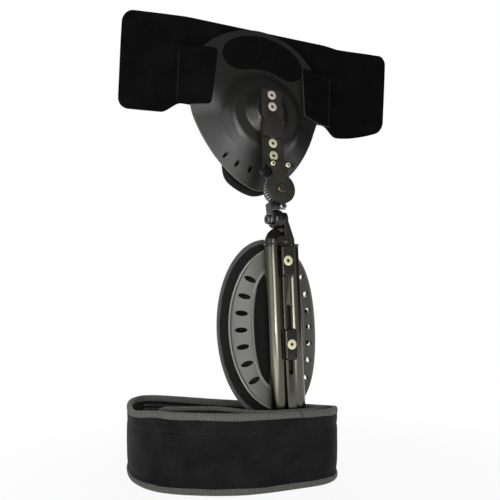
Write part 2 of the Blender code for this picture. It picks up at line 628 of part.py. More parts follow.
def build_hinge_top(flexion):
    """Cover, upper arm and shell plate; heights count outwards from the arm plane."""
    cover = piece("hinge_cover", prism(cover_outline(), -COVER_FRONT, -COVER_BACK), flexion, "black anodised")
    ears = [(side * EAR_X, EAR_Z) for _, side in SIDES]
    cut(cover, turned(rod(HINGE_SHANK + FIT, RING_BACK, COVER_FRONT * 2), outwards(0, 0)),
        *[turned(rod(EAR_SHANK_RADIUS + FIT, RING_BACK, COVER_FRONT * 2), outwards(x, z), 12)
          for x, z in ears])
    head_back = COVER_FRONT + FIT
    ear_head = head_back + EAR_SCREW_RADIUS * 0.5
    ear_tip = RUN - ARM_THICKNESS
    ear_screw = [(0, ear_tip), (EAR_SHANK_RADIUS, ear_tip), (EAR_SHANK_RADIUS, head_back),
                 (EAR_SCREW_RADIUS, head_back), (EAR_SCREW_RADIUS, ear_head), (0, ear_head)]
    for name, side in SIDES:
        piece(f"{name}_cover_screw", turned(ear_screw, outwards(side * EAR_X, EAR_Z)), flexion, "yellow zinc")
    piece("cover_spacer", turned(tube(EAR_SHANK_RADIUS + FIT, EAR_RADIUS * 0.8, FIT, COVER_BACK - FIT),
                                 outwards(EAR_X, EAR_Z)), flexion, "black anodised")

    nut_front = -ARM_THICKNESS - FIT
    nut_back = nut_front - NUT_HEIGHT
    head_top = head_back + HEAD_DEPTH * 0.7
    centre = [(0, nut_back), (HINGE_SHANK, nut_back), (HINGE_SHANK, head_back), (HEAD_RADIUS, head_back),
              (HEAD_RADIUS * 0.84, head_top), (SOCKET_RADIUS, head_top),
              (SOCKET_RADIUS, head_top - SOCKET_DEPTH), (0, head_top - SOCKET_DEPTH)]
    piece("hinge_screw", turned(centre, outwards(0, 0)), flexion, "bronze steel")
    piece("hinge_nut", turned(nut(HINGE_SHANK, nut_back, nut_front), outwards(0, 0), 6),
          flexion, "bright steel", 20.0)

    side = asin(ARM_HALF_WIDTH / ARM_FOOT_RADIUS)
    foot = arc((0, 0), ARM_FOOT_RADIUS, -3 * pi / 2 + side, pi / 2 - side, 22)
    top = rounded([(ARM_HALF_WIDTH, EAR_Z), (ARM_HALF_WIDTH, PLATE_TOP), (-ARM_HALF_WIDTH, PLATE_TOP),
                   (-ARM_HALF_WIDTH, EAR_Z)], PLATE_CORNER)
    steps = len(top) // 4
    arm = piece("upper_arm", prism(foot + top[steps:3 * steps], 0, ARM_THICKNESS), flexion, "black anodised")
    behind = -ARM_THICKNESS * 2
    cut(arm, turned(rod(HINGE_SHANK + FIT, behind, ARM_THICKNESS), outwards(0, 0)),
        *[turned(rod(EAR_SHANK_RADIUS + FIT, behind, ARM_THICKNESS), outwards(x, z), 12) for x, z in ears],
        *[turned(countersunk(0, HEAD_RADIUS, HEAD_DEPTH, SHANK_RADIUS, behind, FIT), outwards(0, z))
          for z in ARM_SCREW_Z],
        *[turned(rod(SHANK_RADIUS + FIT, behind, ARM_THICKNESS), outwards(0, z)) for z in PLATE_SCREW_Z])

    sag_radius = (PLATE_HALF_WIDTH ** 2 + PLATE_SAG ** 2) / (2 * PLATE_SAG)
    sag_angle = asin(PLATE_HALF_WIDTH / sag_radius)
    lower = arc((0, PLATE_BOTTOM + sag_radius), sag_radius, -pi / 2 - sag_angle, -pi / 2 + sag_angle, 10)
    corner = arc((PLATE_HALF_WIDTH - PLATE_CORNER, PLATE_TOP - PLATE_CORNER), PLATE_CORNER, 0, pi / 2, 4)
    notch = arc((PLATE_HALF_WIDTH, PLATE_NOTCH_Z), PLATE_NOTCH_RADIUS, -pi / 2, -3 * pi / 2, 8)
    right = notch + corner
    outline = lower + right + [(-x, z) for x, z in reversed(right)]
    plate = piece("shell_plate", prism(outline, -PLATE_FRONT, -PLATE_BACK), flexion, "black plastic")
    cut(plate, *[turned(countersunk(PLATE_FRONT, HEAD_RADIUS, HEAD_DEPTH, SHANK_RADIUS, -ARM_THICKNESS, FIT),
                        outwards(0, z)) for z in PLATE_SCREW_Z])


def build_lever(lever):
    """Lock lever on the left ear screw: a nose beside the teeth and a thumb tab."""
    nose = Vector((RING_RADIUS * cos(LEVER_NOSE_ANGLE) * (1 + RUN / RING_RADIUS) + EAR_X,
                   RING_RADIUS * sin(LEVER_NOSE_ANGLE) * (1 + RUN / RING_RADIUS) - EAR_Z))
    outward = Vector((cos(LEVER_NOSE_ANGLE), sin(LEVER_NOSE_ANGLE)))
    along = Vector((-outward.y, outward.x))
    tip = nose + outward * LEVER_NOSE_HALF * 1.2
    tab_dir = Vector((cos(LEVER_TAB_ANGLE), sin(LEVER_TAB_ANGLE)))
    tab_side = Vector((-tab_dir.y, tab_dir.x))
    tab_end = tab_dir * LEVER_TAB_REACH
    crotch = (tip + tab_dir * LEVER_TAB_REACH * 0.45) * 0.52
    outline = arc((0, 0), LEVER_WIDTH, -pi / 4, 0.62 * pi, 8)
    outline += [tuple(tab_dir * LEVER_TAB_REACH * 0.4 - tab_side * LEVER_TAB_HALF * 0.8),
                tuple(tab_end - tab_side * LEVER_TAB_HALF), tuple(tab_end + tab_side * LEVER_TAB_HALF),
                tuple(tab_dir * LEVER_TAB_REACH * 0.45 + tab_side * LEVER_TAB_HALF * 0.9), tuple(crotch),
                tuple(tip + outward * LEVER_NOSE_HALF + along * LEVER_NOSE_HALF * 0.3),
                tuple(tip - outward * LEVER_NOSE_HALF * 0.9 + along * LEVER_NOSE_HALF * 0.5),
                tuple(tip - along * LEVER_NOSE_HALF)]
    body = piece("lock_lever", prism(outline, -RING_FRONT, -RING_BACK), lever, "grey steel")
    cut(body, turned(rod(EAR_SHANK_RADIUS + RUN, 0, COVER_FRONT), outwards(0, 0), 12))


# Pelvic shell and soft parts

def egg(angle, grow=0.0):
    """Rim of the pelvic shell in a direction from the middle of the dome: (x, z)."""
    direction = Vector((cos(angle), sin(angle)))
    low, high = 0.0, 2 * (EGG_TOP - EGG_BOTTOM)
    for _ in range(40):
        reach = (low + high) / 2
        x, z = direction.x * reach, DOME_Z + direction.y * reach - EGG_MIDDLE
        tall, power = EGG_TOP - EGG_MIDDLE, EGG_UPPER_POWER
        if z < 0.0:
            tall, power = EGG_MIDDLE - EGG_BOTTOM, EGG_LOWER_POWER
        inside = (abs(x) / (EGG_HALF_WIDTH + grow)) ** power + (abs(z) / (tall + grow)) ** power < 1
        low, high = (reach, high) if inside else (low, reach)
    return low


def rim_depth(z):
    return RIM_DEPTH - RIM_SLOPE * max(z - RIM_FOLD_Z, 0.0)


def dome(x, z):
    """Depth of the shell's outer face behind the arm plane."""
    radius = hypot(x, z - DOME_Z)
    depth = DOME_FRONT + INNER_DROP * smooth(*INNER_STEP, radius) + OUTER_DROP * smooth(*OUTER_STEP, radius)
    depth += SLOPE_DROP * smooth(INNER_STEP[1], OUTER_STEP[0], radius)
    angle = atan2(z - DOME_Z, x)
    reach = egg(angle)
    share = max((radius - OUTER_STEP[1]) / (reach - OUTER_STEP[1]), 0.0)
    at_rim = rim_depth(DOME_Z + reach * sin(angle))
    return depth + (at_rim - DOME_FRONT - INNER_DROP - OUTER_DROP - SLOPE_DROP) * min(share, 1.0) ** 1.25


def dished(radii, steps, front, back):
    """A closed bowl over rays from the middle of the dome; radii(angle) gives its ring radii."""
    rings = []
    for face, order in ((front, 1), (back, -1)):
        rows = []
        for index in range(len(radii(0.0))):
            row = []
            for step in range(steps):
                angle = 2 * pi * (step + 0.5) / steps
                reach = radii(angle)[index]
                x, z = reach * cos(angle), DOME_Z + reach * sin(angle)
                row.append((x, face(x, z, index), z))
            rows.append(row)
        rings += rows[::order]
    return loft(rings)


def build_pelvic_shell(flexion):
    def radii(angle):
        reach = egg(angle)
        flare = reach - OUTER_STEP[1]
        rings = [0.0] + [low + (high - low) * share for low, high in (INNER_STEP, OUTER_STEP)
                         for share in (0.0, 0.25, 0.5, 0.75, 1.0)]
        return rings + [OUTER_STEP[1] + flare * share for share in (0.3, 0.6, 0.85, 1.0)]

    def boss(x, z):
        """The middle of the dome comes forward to the arm's front, so that the plate lies on it."""
        return DOME_FRONT * (1 - smooth(*INNER_STEP, hypot(x, z - DOME_Z)))

    shell = piece("pelvic_shell", dished(radii, 48, lambda x, z, i: dome(x, z) - boss(x, z),
                                         lambda x, z, i: dome(x, z) + SHELL_WALL), flexion, "black plastic")
    seat_half, seat_top = ARM_HALF_WIDTH + FIT, PLATE_TOP + FIT
    seat = rounded([(-seat_half, PLATE_BOTTOM), (seat_half, PLATE_BOTTOM), (seat_half, seat_top),
                    (-seat_half, seat_top)], PLATE_CORNER)
    vents = []
    for vent in range(VENT_COUNT):
        angle = -pi / 2 + (vent - (VENT_COUNT - 1) / 2) * VENT_STEP
        middle = (VENT_RADIUS * cos(angle), DOME_Z + VENT_RADIUS * sin(angle))
        vents.append(prism(obround(middle, VENT_LENGTH, VENT_WIDTH, angle, 4), DOME_FRONT, RIM_DEPTH * 2))
    screw_ways = [turned(rod(SHANK_RADIUS + FIT, -RIM_DEPTH, 0), outwards(0, z), 12)
                  for z in PLATE_SCREW_Z + ARM_SCREW_Z]
    cut(shell, *vents, *screw_ways, prism(seat, -FIT, DOME_FRONT))

    def around(z, radius, pick):
        """Least or greatest shell depth under a round foot."""
        return pick(dome(x, up) for share in (0.1, 0.5, 1.0) for x, up in circle((0, z), radius * share, 12))

    def bolted(name, z, face, nut_front, colour):
        """A countersunk screw through the shell and its nut behind."""
        nut_back = nut_front - NUT_HEIGHT
        piece(f"{name}_screw", turned(countersunk(face, HEAD_RADIUS, HEAD_DEPTH, SHANK_RADIUS, nut_back),
                                      outwards(0, z)), flexion, colour)
        piece(f"{name}_nut", turned(nut(SHANK_RADIUS, nut_back, nut_front), outwards(0, z), 6),
              flexion, "bright steel", 20.0)

    for name, arm_z, plate_z in zip(LEVELS, ARM_SCREW_Z, PLATE_SCREW_Z):
        foot = around(arm_z, NUT_RADIUS, min) - FIT
        piece(f"{name}_arm_spacer", turned(tube(SHANK_RADIUS + FIT, NUT_RADIUS, -foot, -ARM_THICKNESS - FIT),
                                           outwards(0, arm_z)), flexion, "black anodised")
        bolted(f"{name}_arm", arm_z, 0, -around(arm_z, NUT_RADIUS, max) - SHELL_WALL - FIT, "yellow zinc")
        bolted(f"{name}_plate", plate_z, PLATE_FRONT, -around(plate_z, NUT_RADIUS, max) - SHELL_WALL - FIT,
               "bright steel")


def build_hook_patch(flexion):
    """Kidney-shaped patch that lies on the top of the shell."""
    rings = []
    steps = 18
    for step in range(steps + 1):
        share = step / steps * 2 - 1
        angle = pi / 2 - PATCH_SPREAD * share
        inner, outer = PATCH_INNER, egg(angle) - PATCH_EDGE
        middle, half = (inner + outer) / 2, (outer - inner) / 2 * sqrt(max(1 - abs(share) ** 5, 0.02))
        ring = []
        for height, order in ((PATCH_THICKNESS + FIT, 1), (FIT, -1)):
            row = []
            for across in (-1.0, -0.5, 0.0, 0.5, 1.0):
                reach = middle + half * across
                x, z = reach * cos(angle), DOME_Z + reach * sin(angle)
                row.append((x, dome(x, z) - height, z))
            ring += row[::order]
        rings.append(ring)
    piece("hook_patch", loft(rings), flexion, "black fabric")


def wing_front(x, z):
    """Depth of the wings' outer face behind the arm plane."""
    sweep = WING_SWEEP * max(abs(x) - WING_FOLD_X, 0.0)
    return RIM_DEPTH + SHELL_WALL + FIT - RIM_SLOPE * (z - RIM_FOLD_Z) + sweep


def build_wings(flexion):
    corners = [(WING_LEFT, WING_TOP), (WING_LEFT, WING_LOBE_Z), (-WING_LOBE_X, WING_LOBE_Z),
               (-WING_STEP_X, WING_STEP_Z), (WING_STEP_X + WING_STEP_SHIFT, WING_STEP_Z),
               (WING_LOBE_X + WING_STEP_SHIFT, WING_LOBE_Z),
               ((WING_LOBE_X + WING_RIGHT) / 2, WING_LOBE_Z + WING_RISE / 2),
               (WING_RIGHT, WING_LOBE_Z + WING_RISE * 2), (WING_RIGHT, WING_TOP + WING_RISE),
               (WING_LOBE_X, WING_TOP)]
    band = prism(rounded(corners, WING_CORNER), 0, WING_THICKNESS)
    for side in (-1, 1):
        bmesh.ops.bisect_plane(band, geom=band.verts[:] + band.edges[:] + band.faces[:],
                               plane_co=(side * WING_FOLD_X, 0, 0), plane_no=(1, 0, 0))
    for vertex in band.verts:
        vertex.co.y += wing_front(vertex.co.x, vertex.co.z)
    piece("wing_band", band, flexion, "black fabric")

    def tab_back(x, z):
        """The tab lies on the shell and leans back to the wing past the rim."""
        angle = atan2(z - DOME_Z, x)
        past = max(hypot(x, z - DOME_Z) - egg(angle), 0.0)
        drop = min(past / (TAB_OUTER - WING_FOLD_X), 1.0) * SHELL_WALL
        return min(dome(x, z) + drop, wing_front(x, z)) - TAB_LIFT

    for name, side in SIDES:
        rings = []
        steps = 12
        for step in range(steps + 1):
            across = TAB_OUTER + (TAB_INNER - TAB_OUTER) * step / steps
            near_free = max(TAB_CORNER - (across - TAB_INNER), 0.0)
            trim = TAB_CORNER - sqrt(max(TAB_CORNER ** 2 - near_free ** 2, 0.0))
            low, high = TAB_BOTTOM + trim, TAB_TOP - trim
            ring = []
            for height, order in ((TAB_THICKNESS, 1), (0.0, -1)):
                row = []
                for row_step in range(6):
                    x, z = side * across, low + (high - low) * row_step / 5
                    row.append((x, tab_back(x, z) - height, z))
                ring += row[::order]
            rings.append(ring)
        piece(f"{name}_wing_tab", loft(rings), flexion, "black fabric")


def build_pelvic_liner(flexion):
    shares = (0.0, 0.4, 0.75, 0.93, 1.0)

    def radii(angle):
        """Rings inside both the shell's grown outline and the liner's width."""
        foot, side = egg(angle, LINER_MARGIN), LINER_HALF_WIDTH / max(abs(cos(angle)), FIT)
        reach = (foot ** -LINER_SQUARENESS + side ** -LINER_SQUARENESS) ** (-1 / LINER_SQUARENESS)
        return [reach * share for share in shares]

    front_gap = SHELL_WALL + FIT + WING_THICKNESS + FIT

    def front(x, z, index):
        return rim_depth(z) + front_gap + (LINER_THICKNESS * 0.3 if index == len(shares) - 1 else 0.0)

    def back(x, z, index):
        thick = LINER_THICKNESS - LINER_DISH * (1 - shares[index] ** 2)
        return rim_depth(z) + front_gap + (LINER_THICKNESS * 0.7 if index == len(shares) - 1 else thick)

    piece("pelvic_liner", dished(radii, 40, front, back), flexion, "black fabric", 60.0)


# Thigh cuff

def on_thigh(arc_length, z, radius, turn=0.0):
    """Point at an arc length round the thigh, on a radius about the thigh's axis."""
    angle = arc_length / THIGH_RADIUS + turn
    return radius * sin(angle), THIGH_AXIS - radius * cos(angle), z


def build_thigh_shell(thigh):
    outer_lip = THIGH_LIP * 0.6
    section = [(0.0, -THIGH_WALL), (0.0, THIGH_LIP), (0.07, THIGH_LIP), (0.12, 0.0), (0.5, 0.0), (0.88, 0.0),
               (0.92, outer_lip), (1.0, outer_lip), (1.0, -THIGH_WALL), (0.7, -THIGH_WALL),
               (0.3, -THIGH_WALL)]
    rings = []
    steps = 60
    for step in range(steps):
        angle = 2 * pi * (step + 0.5) / steps
        rim = superellipse(angle, THIGH_HALF_WIDTH, THIGH_HALF_HEIGHT, 2.0)
        window = superellipse(angle, WINDOW_HALF_WIDTH, WINDOW_HALF_HEIGHT, WINDOW_POWER)
        ring = []
        for share, height in section:
            across = window[0] + (rim[0] - window[0]) * share
            up = window[1] + (rim[1] - window[1]) * share
            bridge = smooth(RIB_WIDTH * 2, RIB_WIDTH * 3.2, abs(across))
            ring.append(on_thigh(across, up, THIGH_RADIUS + (height * bridge if height > 0 else height)))
        rings.append(ring)
    shell = piece("thigh_shell", loft(rings, wrap=True), thigh, "charcoal plastic")
    holes = []
    for side in (-1, 1):
        for hole in range(HOLE_COUNT):
            up = (hole - (HOLE_COUNT - 1) / 2) * HOLE_STEP
            edge = THIGH_HALF_WIDTH * sqrt(1 - (up / THIGH_HALF_HEIGHT) ** 2)
            middle = side * (edge - HOLE_INSET)
            tilt = atan2(up * THIGH_HALF_WIDTH ** 2, side * (edge + FIT) * THIGH_HALF_HEIGHT ** 2)
            ends = [Vector(on_thigh(middle, up, THIGH_RADIUS + reach))
                    for reach in (-THIGH_WALL * 2, THIGH_WALL)]
            round_thigh = (ends[1] - ends[0]).normalized().cross(Vector((0, 0, -1)))
            across = round_thigh * cos(tilt) + Vector((0, 0, sin(tilt)))
            along = Vector((0, 0, cos(tilt))) - round_thigh * sin(tilt)
            holes.append(loft([[end + across * x * HOLE_LENGTH / 2 + along * z * HOLE_WIDTH / 2
                                for x, z in circle((0, 0), 1.0, 10)] for end in ends]))
    way = rod(FIXING_RADIUS + FIT, -SHELL_APEX - THIGH_WALL * 2, 0)
    cut(shell, *holes, *[turned(way, outwards(0, z), 12) for z in FIXING_Z])

    back = SHELL_APEX + THIGH_WALL + FIT
    tip = -BARREL_RADIUS + FIXING_GRIP
    profile = [(0, -back - FIXING_HEAD_HEIGHT), (FIXING_HEAD_RADIUS, -back - FIXING_HEAD_HEIGHT),
               (FIXING_HEAD_RADIUS, -back), (FIXING_RADIUS, -back), (FIXING_RADIUS, tip), (0, tip)]
    for name, z in zip(LEVELS, FIXING_Z):
        piece(f"{name}_shell_screw", turned(profile, outwards(0, z)), thigh, "bright steel")


def build_thigh_liner(thigh):
    """Padded liner inside the shell, its piped edge and the hook pads that hold it."""
    outer = THIGH_RADIUS - THIGH_WALL - FIT - HOOK_THICKNESS - FIT
    inner = outer - PAD_THICKNESS
    shares = (0.0, 0.45, 0.8, 0.95, 1.0)
    steps = 44

    def row(share, radius):
        points = []
        for step in range(steps):
            across, up = superellipse(2 * pi * step / steps, PAD_HALF_WIDTH, PAD_HALF_HEIGHT, 2.0)
            points.append(on_thigh(across * share, up * share, radius, PAD_TURN))
        return points

    rows = [row(share, outer - PAD_THICKNESS * 0.25 * (share == 1.0)) for share in shares]
    crown = PAD_THICKNESS * 0.18
    rows += [row(share, inner + crown * share ** 2 + PAD_THICKNESS * 0.12 * (share == 1.0))
             for share in reversed(shares)]
    piece("thigh_liner", loft(rows), thigh, "black fabric", 60.0)

    middle = (outer + inner) / 2
    rings = []
    for step in range(steps):
        around = 2 * pi * step / steps
        ring = []
        for x, y in circle((0, 0), 1.0, 8):
            reach = PIPING_RADIUS + FIT + PIPING_RADIUS * x
            across, up = superellipse(around, PAD_HALF_WIDTH + reach, PAD_HALF_HEIGHT + reach, 2.0)
            ring.append(on_thigh(across, up, middle + PIPING_RADIUS * 1.5 * y, PAD_TURN))
        rings.append(ring)
    piece("liner_piping", loft(rings, wrap=True), thigh, "grey fabric", 60.0)

    for name, side in SIDES:
        rings = []
        front = THIGH_RADIUS - THIGH_WALL - FIT
        back = front - HOOK_THICKNESS
        low, high = -HOOK_HALF_HEIGHT, HOOK_HALF_HEIGHT
        for step in range(5):
            across = side * (HOOK_ARC[0] + (HOOK_ARC[1] - HOOK_ARC[0]) * step / 4)
            rings.append([on_thigh(across, z, radius)
                          for z, radius in ((low, front), (high, front), (high, back), (low, back))])
        piece(f"{name}_hook_pad", loft(rings), thigh, "black fabric")


def plan_point(place):
    """Point and inward normal of the band's closed plan curve; place counts its spans."""
    count = len(BAND_PLAN)
    span = int(place) % count
    share = place - int(place)
    a, b, c, d = (Vector(BAND_PLAN[(span + offset) % count]) for offset in (-1, 0, 1, 2))
    first, second, third = c - a, 2 * a - 5 * b + 4 * c - d, 3 * b - 3 * c + d - a
    point = b + 0.5 * (first * share + second * share ** 2 + third * share ** 3)
    slope = first + 2 * second * share + 3 * third * share ** 2
    slope.normalize()
    return point, Vector((slope.y, -slope.x))


def band_stretch(place):
    """Height of the band at a place on its plan, over its least height."""
    count = len(BAND_PLAN)
    near = place - count if place > count / 2 else place
    climb, crest, brow, fall = BAND_RISE_SPANS
    return 1 + BAND_RISE / BAND_HEIGHT * smooth(climb, crest, near) * (1 - smooth(brow, fall, near))


def band_loop(section):
    """Sweep a closed (inwards, up) section round the band's plan."""
    rings = []
    for step in range(len(BAND_PLAN) * BAND_POINTS_PER_SPAN):
        place = step / BAND_POINTS_PER_SPAN
        (point, inward), tall = plan_point(place), band_stretch(place)
        rings.append([(point.x + inward.x * a, point.y + inward.y * a, z * tall) for a, z in section])
    return loft(rings, wrap=True)


def build_band(ground):
    """Band that stands on the floor and goes round the thigh."""
    low, high = BINDING_HEIGHT + FIT, BAND_HEIGHT - BINDING_HEIGHT - FIT
    half = BAND_WALL / 2
    wall = [(-half, low), (half, low), (half * 1.25, (low + high) / 2), (half, high), (-half, high),
            (-half * 1.25, (low + high) / 2)]
    piece("thigh_band", band_loop(wall), ground, "black fabric", 60.0)
    half = BINDING_WALL / 2
    for name, bottom, flat, crown in (("band_lower_binding", 0.0, 1.0, 0.7), ("band_upper_binding",
                                      BAND_HEIGHT - BINDING_HEIGHT, 0.8, 0.5)):
        top = bottom + BINDING_HEIGHT
        middle = (bottom + top) / 2
        section = [(-half * flat, bottom), (half * flat, bottom), (half, middle), (half * crown, top),
                   (-half * crown, top), (-half, middle)]
        piece(name, band_loop(section), ground, "grey fabric", 60.0)

    start, end = STRAP_END_SPAN
    near = BINDING_WALL / 2 + FIT
    far = near + STRAP_THICKNESS
    steps = ceil((end - start) * BAND_POINTS_PER_SPAN)
    rings = []
    travelled = 0.0
    last = plan_point(end)[0]
    for step in range(steps + 1):
        place = end + (start - end) * step / steps
        (point, inward), tall = plan_point(place), band_stretch(place)
        travelled += (point - last).length
        last = point
        short = max(STRAP_CORNER - travelled, 0.0)
        trim = STRAP_CORNER - sqrt(max(STRAP_CORNER ** 2 - short ** 2, 0.0))
        bottom, top = BINDING_HEIGHT + trim, BAND_HEIGHT - STRAP_DROP - trim
        off = STRAP_STAND * smooth(*STRAP_FREE_SPAN, place)
        off *= 1 - STRAP_RETURN * smooth(STRAP_FREE_SPAN[1], end, place)
        rings.append([(point.x + inward.x * (a + off), point.y + inward.y * (a + off), z * tall)
                      for a, z in ((near, bottom), (far, bottom), (far, top), (near, top))])
    piece("band_strap_end", loft(rings), ground, "black fabric", 60.0)


def main():
    clear_scene()
    ground = frame("ground_frame", None, (0, BAND_FRONT, 0))
    thigh = frame("thigh_frame", ground, (0, 0, UPRIGHT_MID_HEIGHT), (-LEAN, 0, 0))
    slide = frame("slide_axis", thigh, (0, 0, HALF_UPRIGHT))
    abduction = frame("abduction_axis", slide, (0, 0, PIVOT_HEIGHT), (-ABDUCTION, 0, 0))
    flexion = frame("flexion_axis", abduction, (0, DIAL_SETBACK, DIAL_HEIGHT), (0, FLEXION, 0))
    lever = frame("lever_axis", flexion, (-EAR_X, 0, EAR_Z))
    build_band(ground)
    build_thigh_shell(thigh)
    build_thigh_liner(thigh)
    build_upright(thigh)
    clamp("upper_clamp", thigh, UPPER_CLAMP_Z, BAR_FRONT + FIT)
    build_slider(slide)
    build_lower_arm(abduction)
    build_hinge_top(flexion)
    build_lever(lever)
    build_pelvic_shell(flexion)
    build_hook_patch(flexion)
    build_wings(flexion)
    build_pelvic_liner(flexion)


main()
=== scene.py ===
# Hinged hip brace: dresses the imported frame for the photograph's view.
import json
import math

import bpy
from mathutils import Matrix, Vector, noise


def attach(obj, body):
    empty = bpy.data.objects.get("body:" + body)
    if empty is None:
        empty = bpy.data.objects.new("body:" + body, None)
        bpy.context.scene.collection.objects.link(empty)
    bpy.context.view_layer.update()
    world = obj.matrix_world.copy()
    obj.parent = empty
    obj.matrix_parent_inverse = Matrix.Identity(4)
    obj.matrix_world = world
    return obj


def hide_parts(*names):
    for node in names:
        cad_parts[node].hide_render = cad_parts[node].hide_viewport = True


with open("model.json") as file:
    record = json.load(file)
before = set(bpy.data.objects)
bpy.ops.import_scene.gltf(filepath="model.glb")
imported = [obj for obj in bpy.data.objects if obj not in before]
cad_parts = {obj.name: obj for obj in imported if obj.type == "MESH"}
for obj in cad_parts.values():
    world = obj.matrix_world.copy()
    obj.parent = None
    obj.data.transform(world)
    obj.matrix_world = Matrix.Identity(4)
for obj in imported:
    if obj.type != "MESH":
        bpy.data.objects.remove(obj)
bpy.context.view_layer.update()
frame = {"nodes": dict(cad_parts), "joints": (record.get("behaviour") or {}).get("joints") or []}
bpy.context.scene.view_settings.view_transform = "Standard"

# the joints give the places that the pieces are built in
joints = {joint["name"]: joint for joint in frame["joints"]}
slideAxis = Vector(joints["height_slide"]["axis"])
abductionPoint = Vector(joints["abduction"]["pos_m"])
flexionPoint = Vector(joints["flexion"]["pos_m"])
flexionAxis = Vector(joints["flexion"]["axis"])
uprightTop = 0.0865  # from the middle of the upright
pivotRise = 0.0230  # abduction pivot above the upright
restTurn = math.radians(3.7)  # of the pelvic half at the dial
thighPlace = (Matrix.Translation(abductionPoint - slideAxis * (uprightTop + pivotRise))
              @ Matrix.Rotation(-math.atan2(slideAxis.y, slideAxis.z), 4, "X"))
slidePlace = thighPlace @ Matrix.Translation((0, 0, uprightTop))
hingeLean = Matrix.Rotation(math.atan2(flexionAxis.z, flexionAxis.y), 4, "X")
hipPlace = Matrix.Translation(abductionPoint) @ hingeLean
dialPlace = Matrix.Translation(flexionPoint) @ hingeLean @ Matrix.Rotation(restTurn, 4, "Y")
bandPlace = Matrix.Translation((0, thighPlace.translation.y, 0))
sides = (("left", -1), ("right", 1))
overrun = 0.002  # how far a cutting tool reaches past a piece
tiny = 1e-5  # places this near to each other are the same


# small tools, used as by hand

def clearPick():
    if bpy.context.object and bpy.context.object.mode != "OBJECT":
        bpy.ops.object.mode_set(mode="OBJECT")
    bpy.ops.object.select_all(action="DESELECT")


def pickOnly(piece):
    clearPick()
    piece.select_set(True)
    bpy.context.view_layer.objects.active = piece


def pickAll(piece):
    pickOnly(piece)
    bpy.ops.object.mode_set(mode="EDIT")
    bpy.ops.mesh.select_all(action="SELECT")


def freeze(piece):
    pickOnly(piece)
    bpy.ops.object.transform_apply(location=True, rotation=True, scale=True)
    return piece


def named(name):
    # the piece that was just added
    bpy.context.object.name = name
    return bpy.context.object


def block(name, size, place):
    clearPick()
    bpy.ops.mesh.primitive_cube_add(size=1, location=place)
    piece = named(name)
    piece.scale = size
    return freeze(piece)


def drum(name, radius, length, place, along="Y", corners=64):
    clearPick()
    turn = {"X": (0, math.pi / 2, 0), "Y": (math.pi / 2, 0, 0), "Z": (0, 0, 0)}[along]
    bpy.ops.mesh.primitive_cylinder_add(vertices=corners, radius=radius, depth=length, location=place,
                                        rotation=turn)
    return freeze(named(name))


def ball(name, radius, columns, rows, turn=(0, 0, 0)):
    clearPick()
    bpy.ops.mesh.primitive_uv_sphere_add(segments=columns, ring_count=rows, radius=radius, rotation=turn)
    return freeze(named(name))


def modify(piece, kind, **settings):
    pickOnly(piece)
    change = piece.modifiers.new(kind.title(), kind)
    for key, value in settings.items():
        setattr(change, key, value)
    bpy.ops.object.modifier_apply(modifier=change.name)
    return piece


def merge(piece, tool, how="UNION"):
    modify(piece, "BOOLEAN", object=tool, operation=how, solver="EXACT")
    bpy.data.objects.remove(tool, do_unlink=True)


def carve(piece, *tools):
    for tool in tools:
        merge(piece, tool, "DIFFERENCE")


def emptyPick(piece, kind):
    pickOnly(piece)
    bpy.ops.object.mode_set(mode="EDIT")
    bpy.ops.mesh.select_mode(type=kind)
    bpy.ops.mesh.select_all(action="DESELECT")
    bpy.ops.object.mode_set(mode="OBJECT")


def chooseEdges(piece, test):
    emptyPick(piece, "EDGE")
    points = piece.data.vertices
    for edge in piece.data.edges:
        first, last = (points[corner].co for corner in edge.vertices)
        edge.select = test((first + last) / 2, last - first)
    bpy.ops.object.mode_set(mode="EDIT")


def chooseFaces(piece, test):
    emptyPick(piece, "FACE")
    for face in piece.data.polygons:
        face.select = test(face.center, face.normal)
    bpy.ops.object.mode_set(mode="EDIT")


def roundEdges(piece, test, width, steps):
    chooseEdges(piece, test)
    bpy.ops.mesh.bevel(offset=width, segments=steps, affect="EDGES")
    bpy.ops.object.mode_set(mode="OBJECT")


def breakEdges(piece, width, steps=2, angle=35):
    # the small radius that a tumbled or moulded part has all round
    return modify(piece, "BEVEL", width=width, segments=steps, limit_method="ANGLE",
                  angle_limit=math.radians(angle), use_clamp_overlap=True)


def faceOut(piece):
    pickAll(piece)
    bpy.ops.mesh.remove_doubles(threshold=1e-6)
    bpy.ops.mesh.normals_make_consistent(inside=False)
    bpy.ops.object.mode_set(mode="OBJECT")
    return piece


def shapedGrid(name, columns, rows, place):
    # a grid whose points are laid out by place(across, along), both from 0 to 1
    clearPick()
    bpy.ops.mesh.primitive_grid_add(x_subdivisions=columns, y_subdivisions=rows, size=1, calc_uvs=True)
    piece = named(name)
    for point in piece.data.vertices:
        point.co = place(point.co.x + 0.5, point.co.y + 0.5)
    return faceOut(piece)


def skin(name, columns, rows, place, thick, edge, steps=2, angle=50):
    # a grid that faces the front, which is -Y, with its thickness behind it and its edges broken
    piece = shapedGrid(name, columns, rows, place)
    if sum(face.normal.y * face.area for face in piece.data.polygons) > 0:
        pickAll(piece)
        bpy.ops.mesh.flip_normals()
        bpy.ops.object.mode_set(mode="OBJECT")
    modify(piece, "SOLIDIFY", thickness=thick, offset=-1.0)
    return breakEdges(piece, edge, steps, angle)


def hoop(name, stations, around, section):
    # a torus laid along stations: section(station, share) gives a point of the ring at that share of its turn
    clearPick()
    bpy.ops.mesh.primitive_torus_add(major_segments=stations, minor_segments=around, major_radius=0.1,
                                     minor_radius=0.01, generate_uvs=True)
    piece = named(name)
    for index, point in enumerate(piece.data.vertices):
        point.co = section(index // around / stations, index % around / around)
    return faceOut(piece)


def joinAll(name, parts):
    clearPick()
    for part in parts:
        part.select_set(True)
    bpy.context.view_layer.objects.active = parts[0]
    bpy.ops.object.join()
    return named(name)


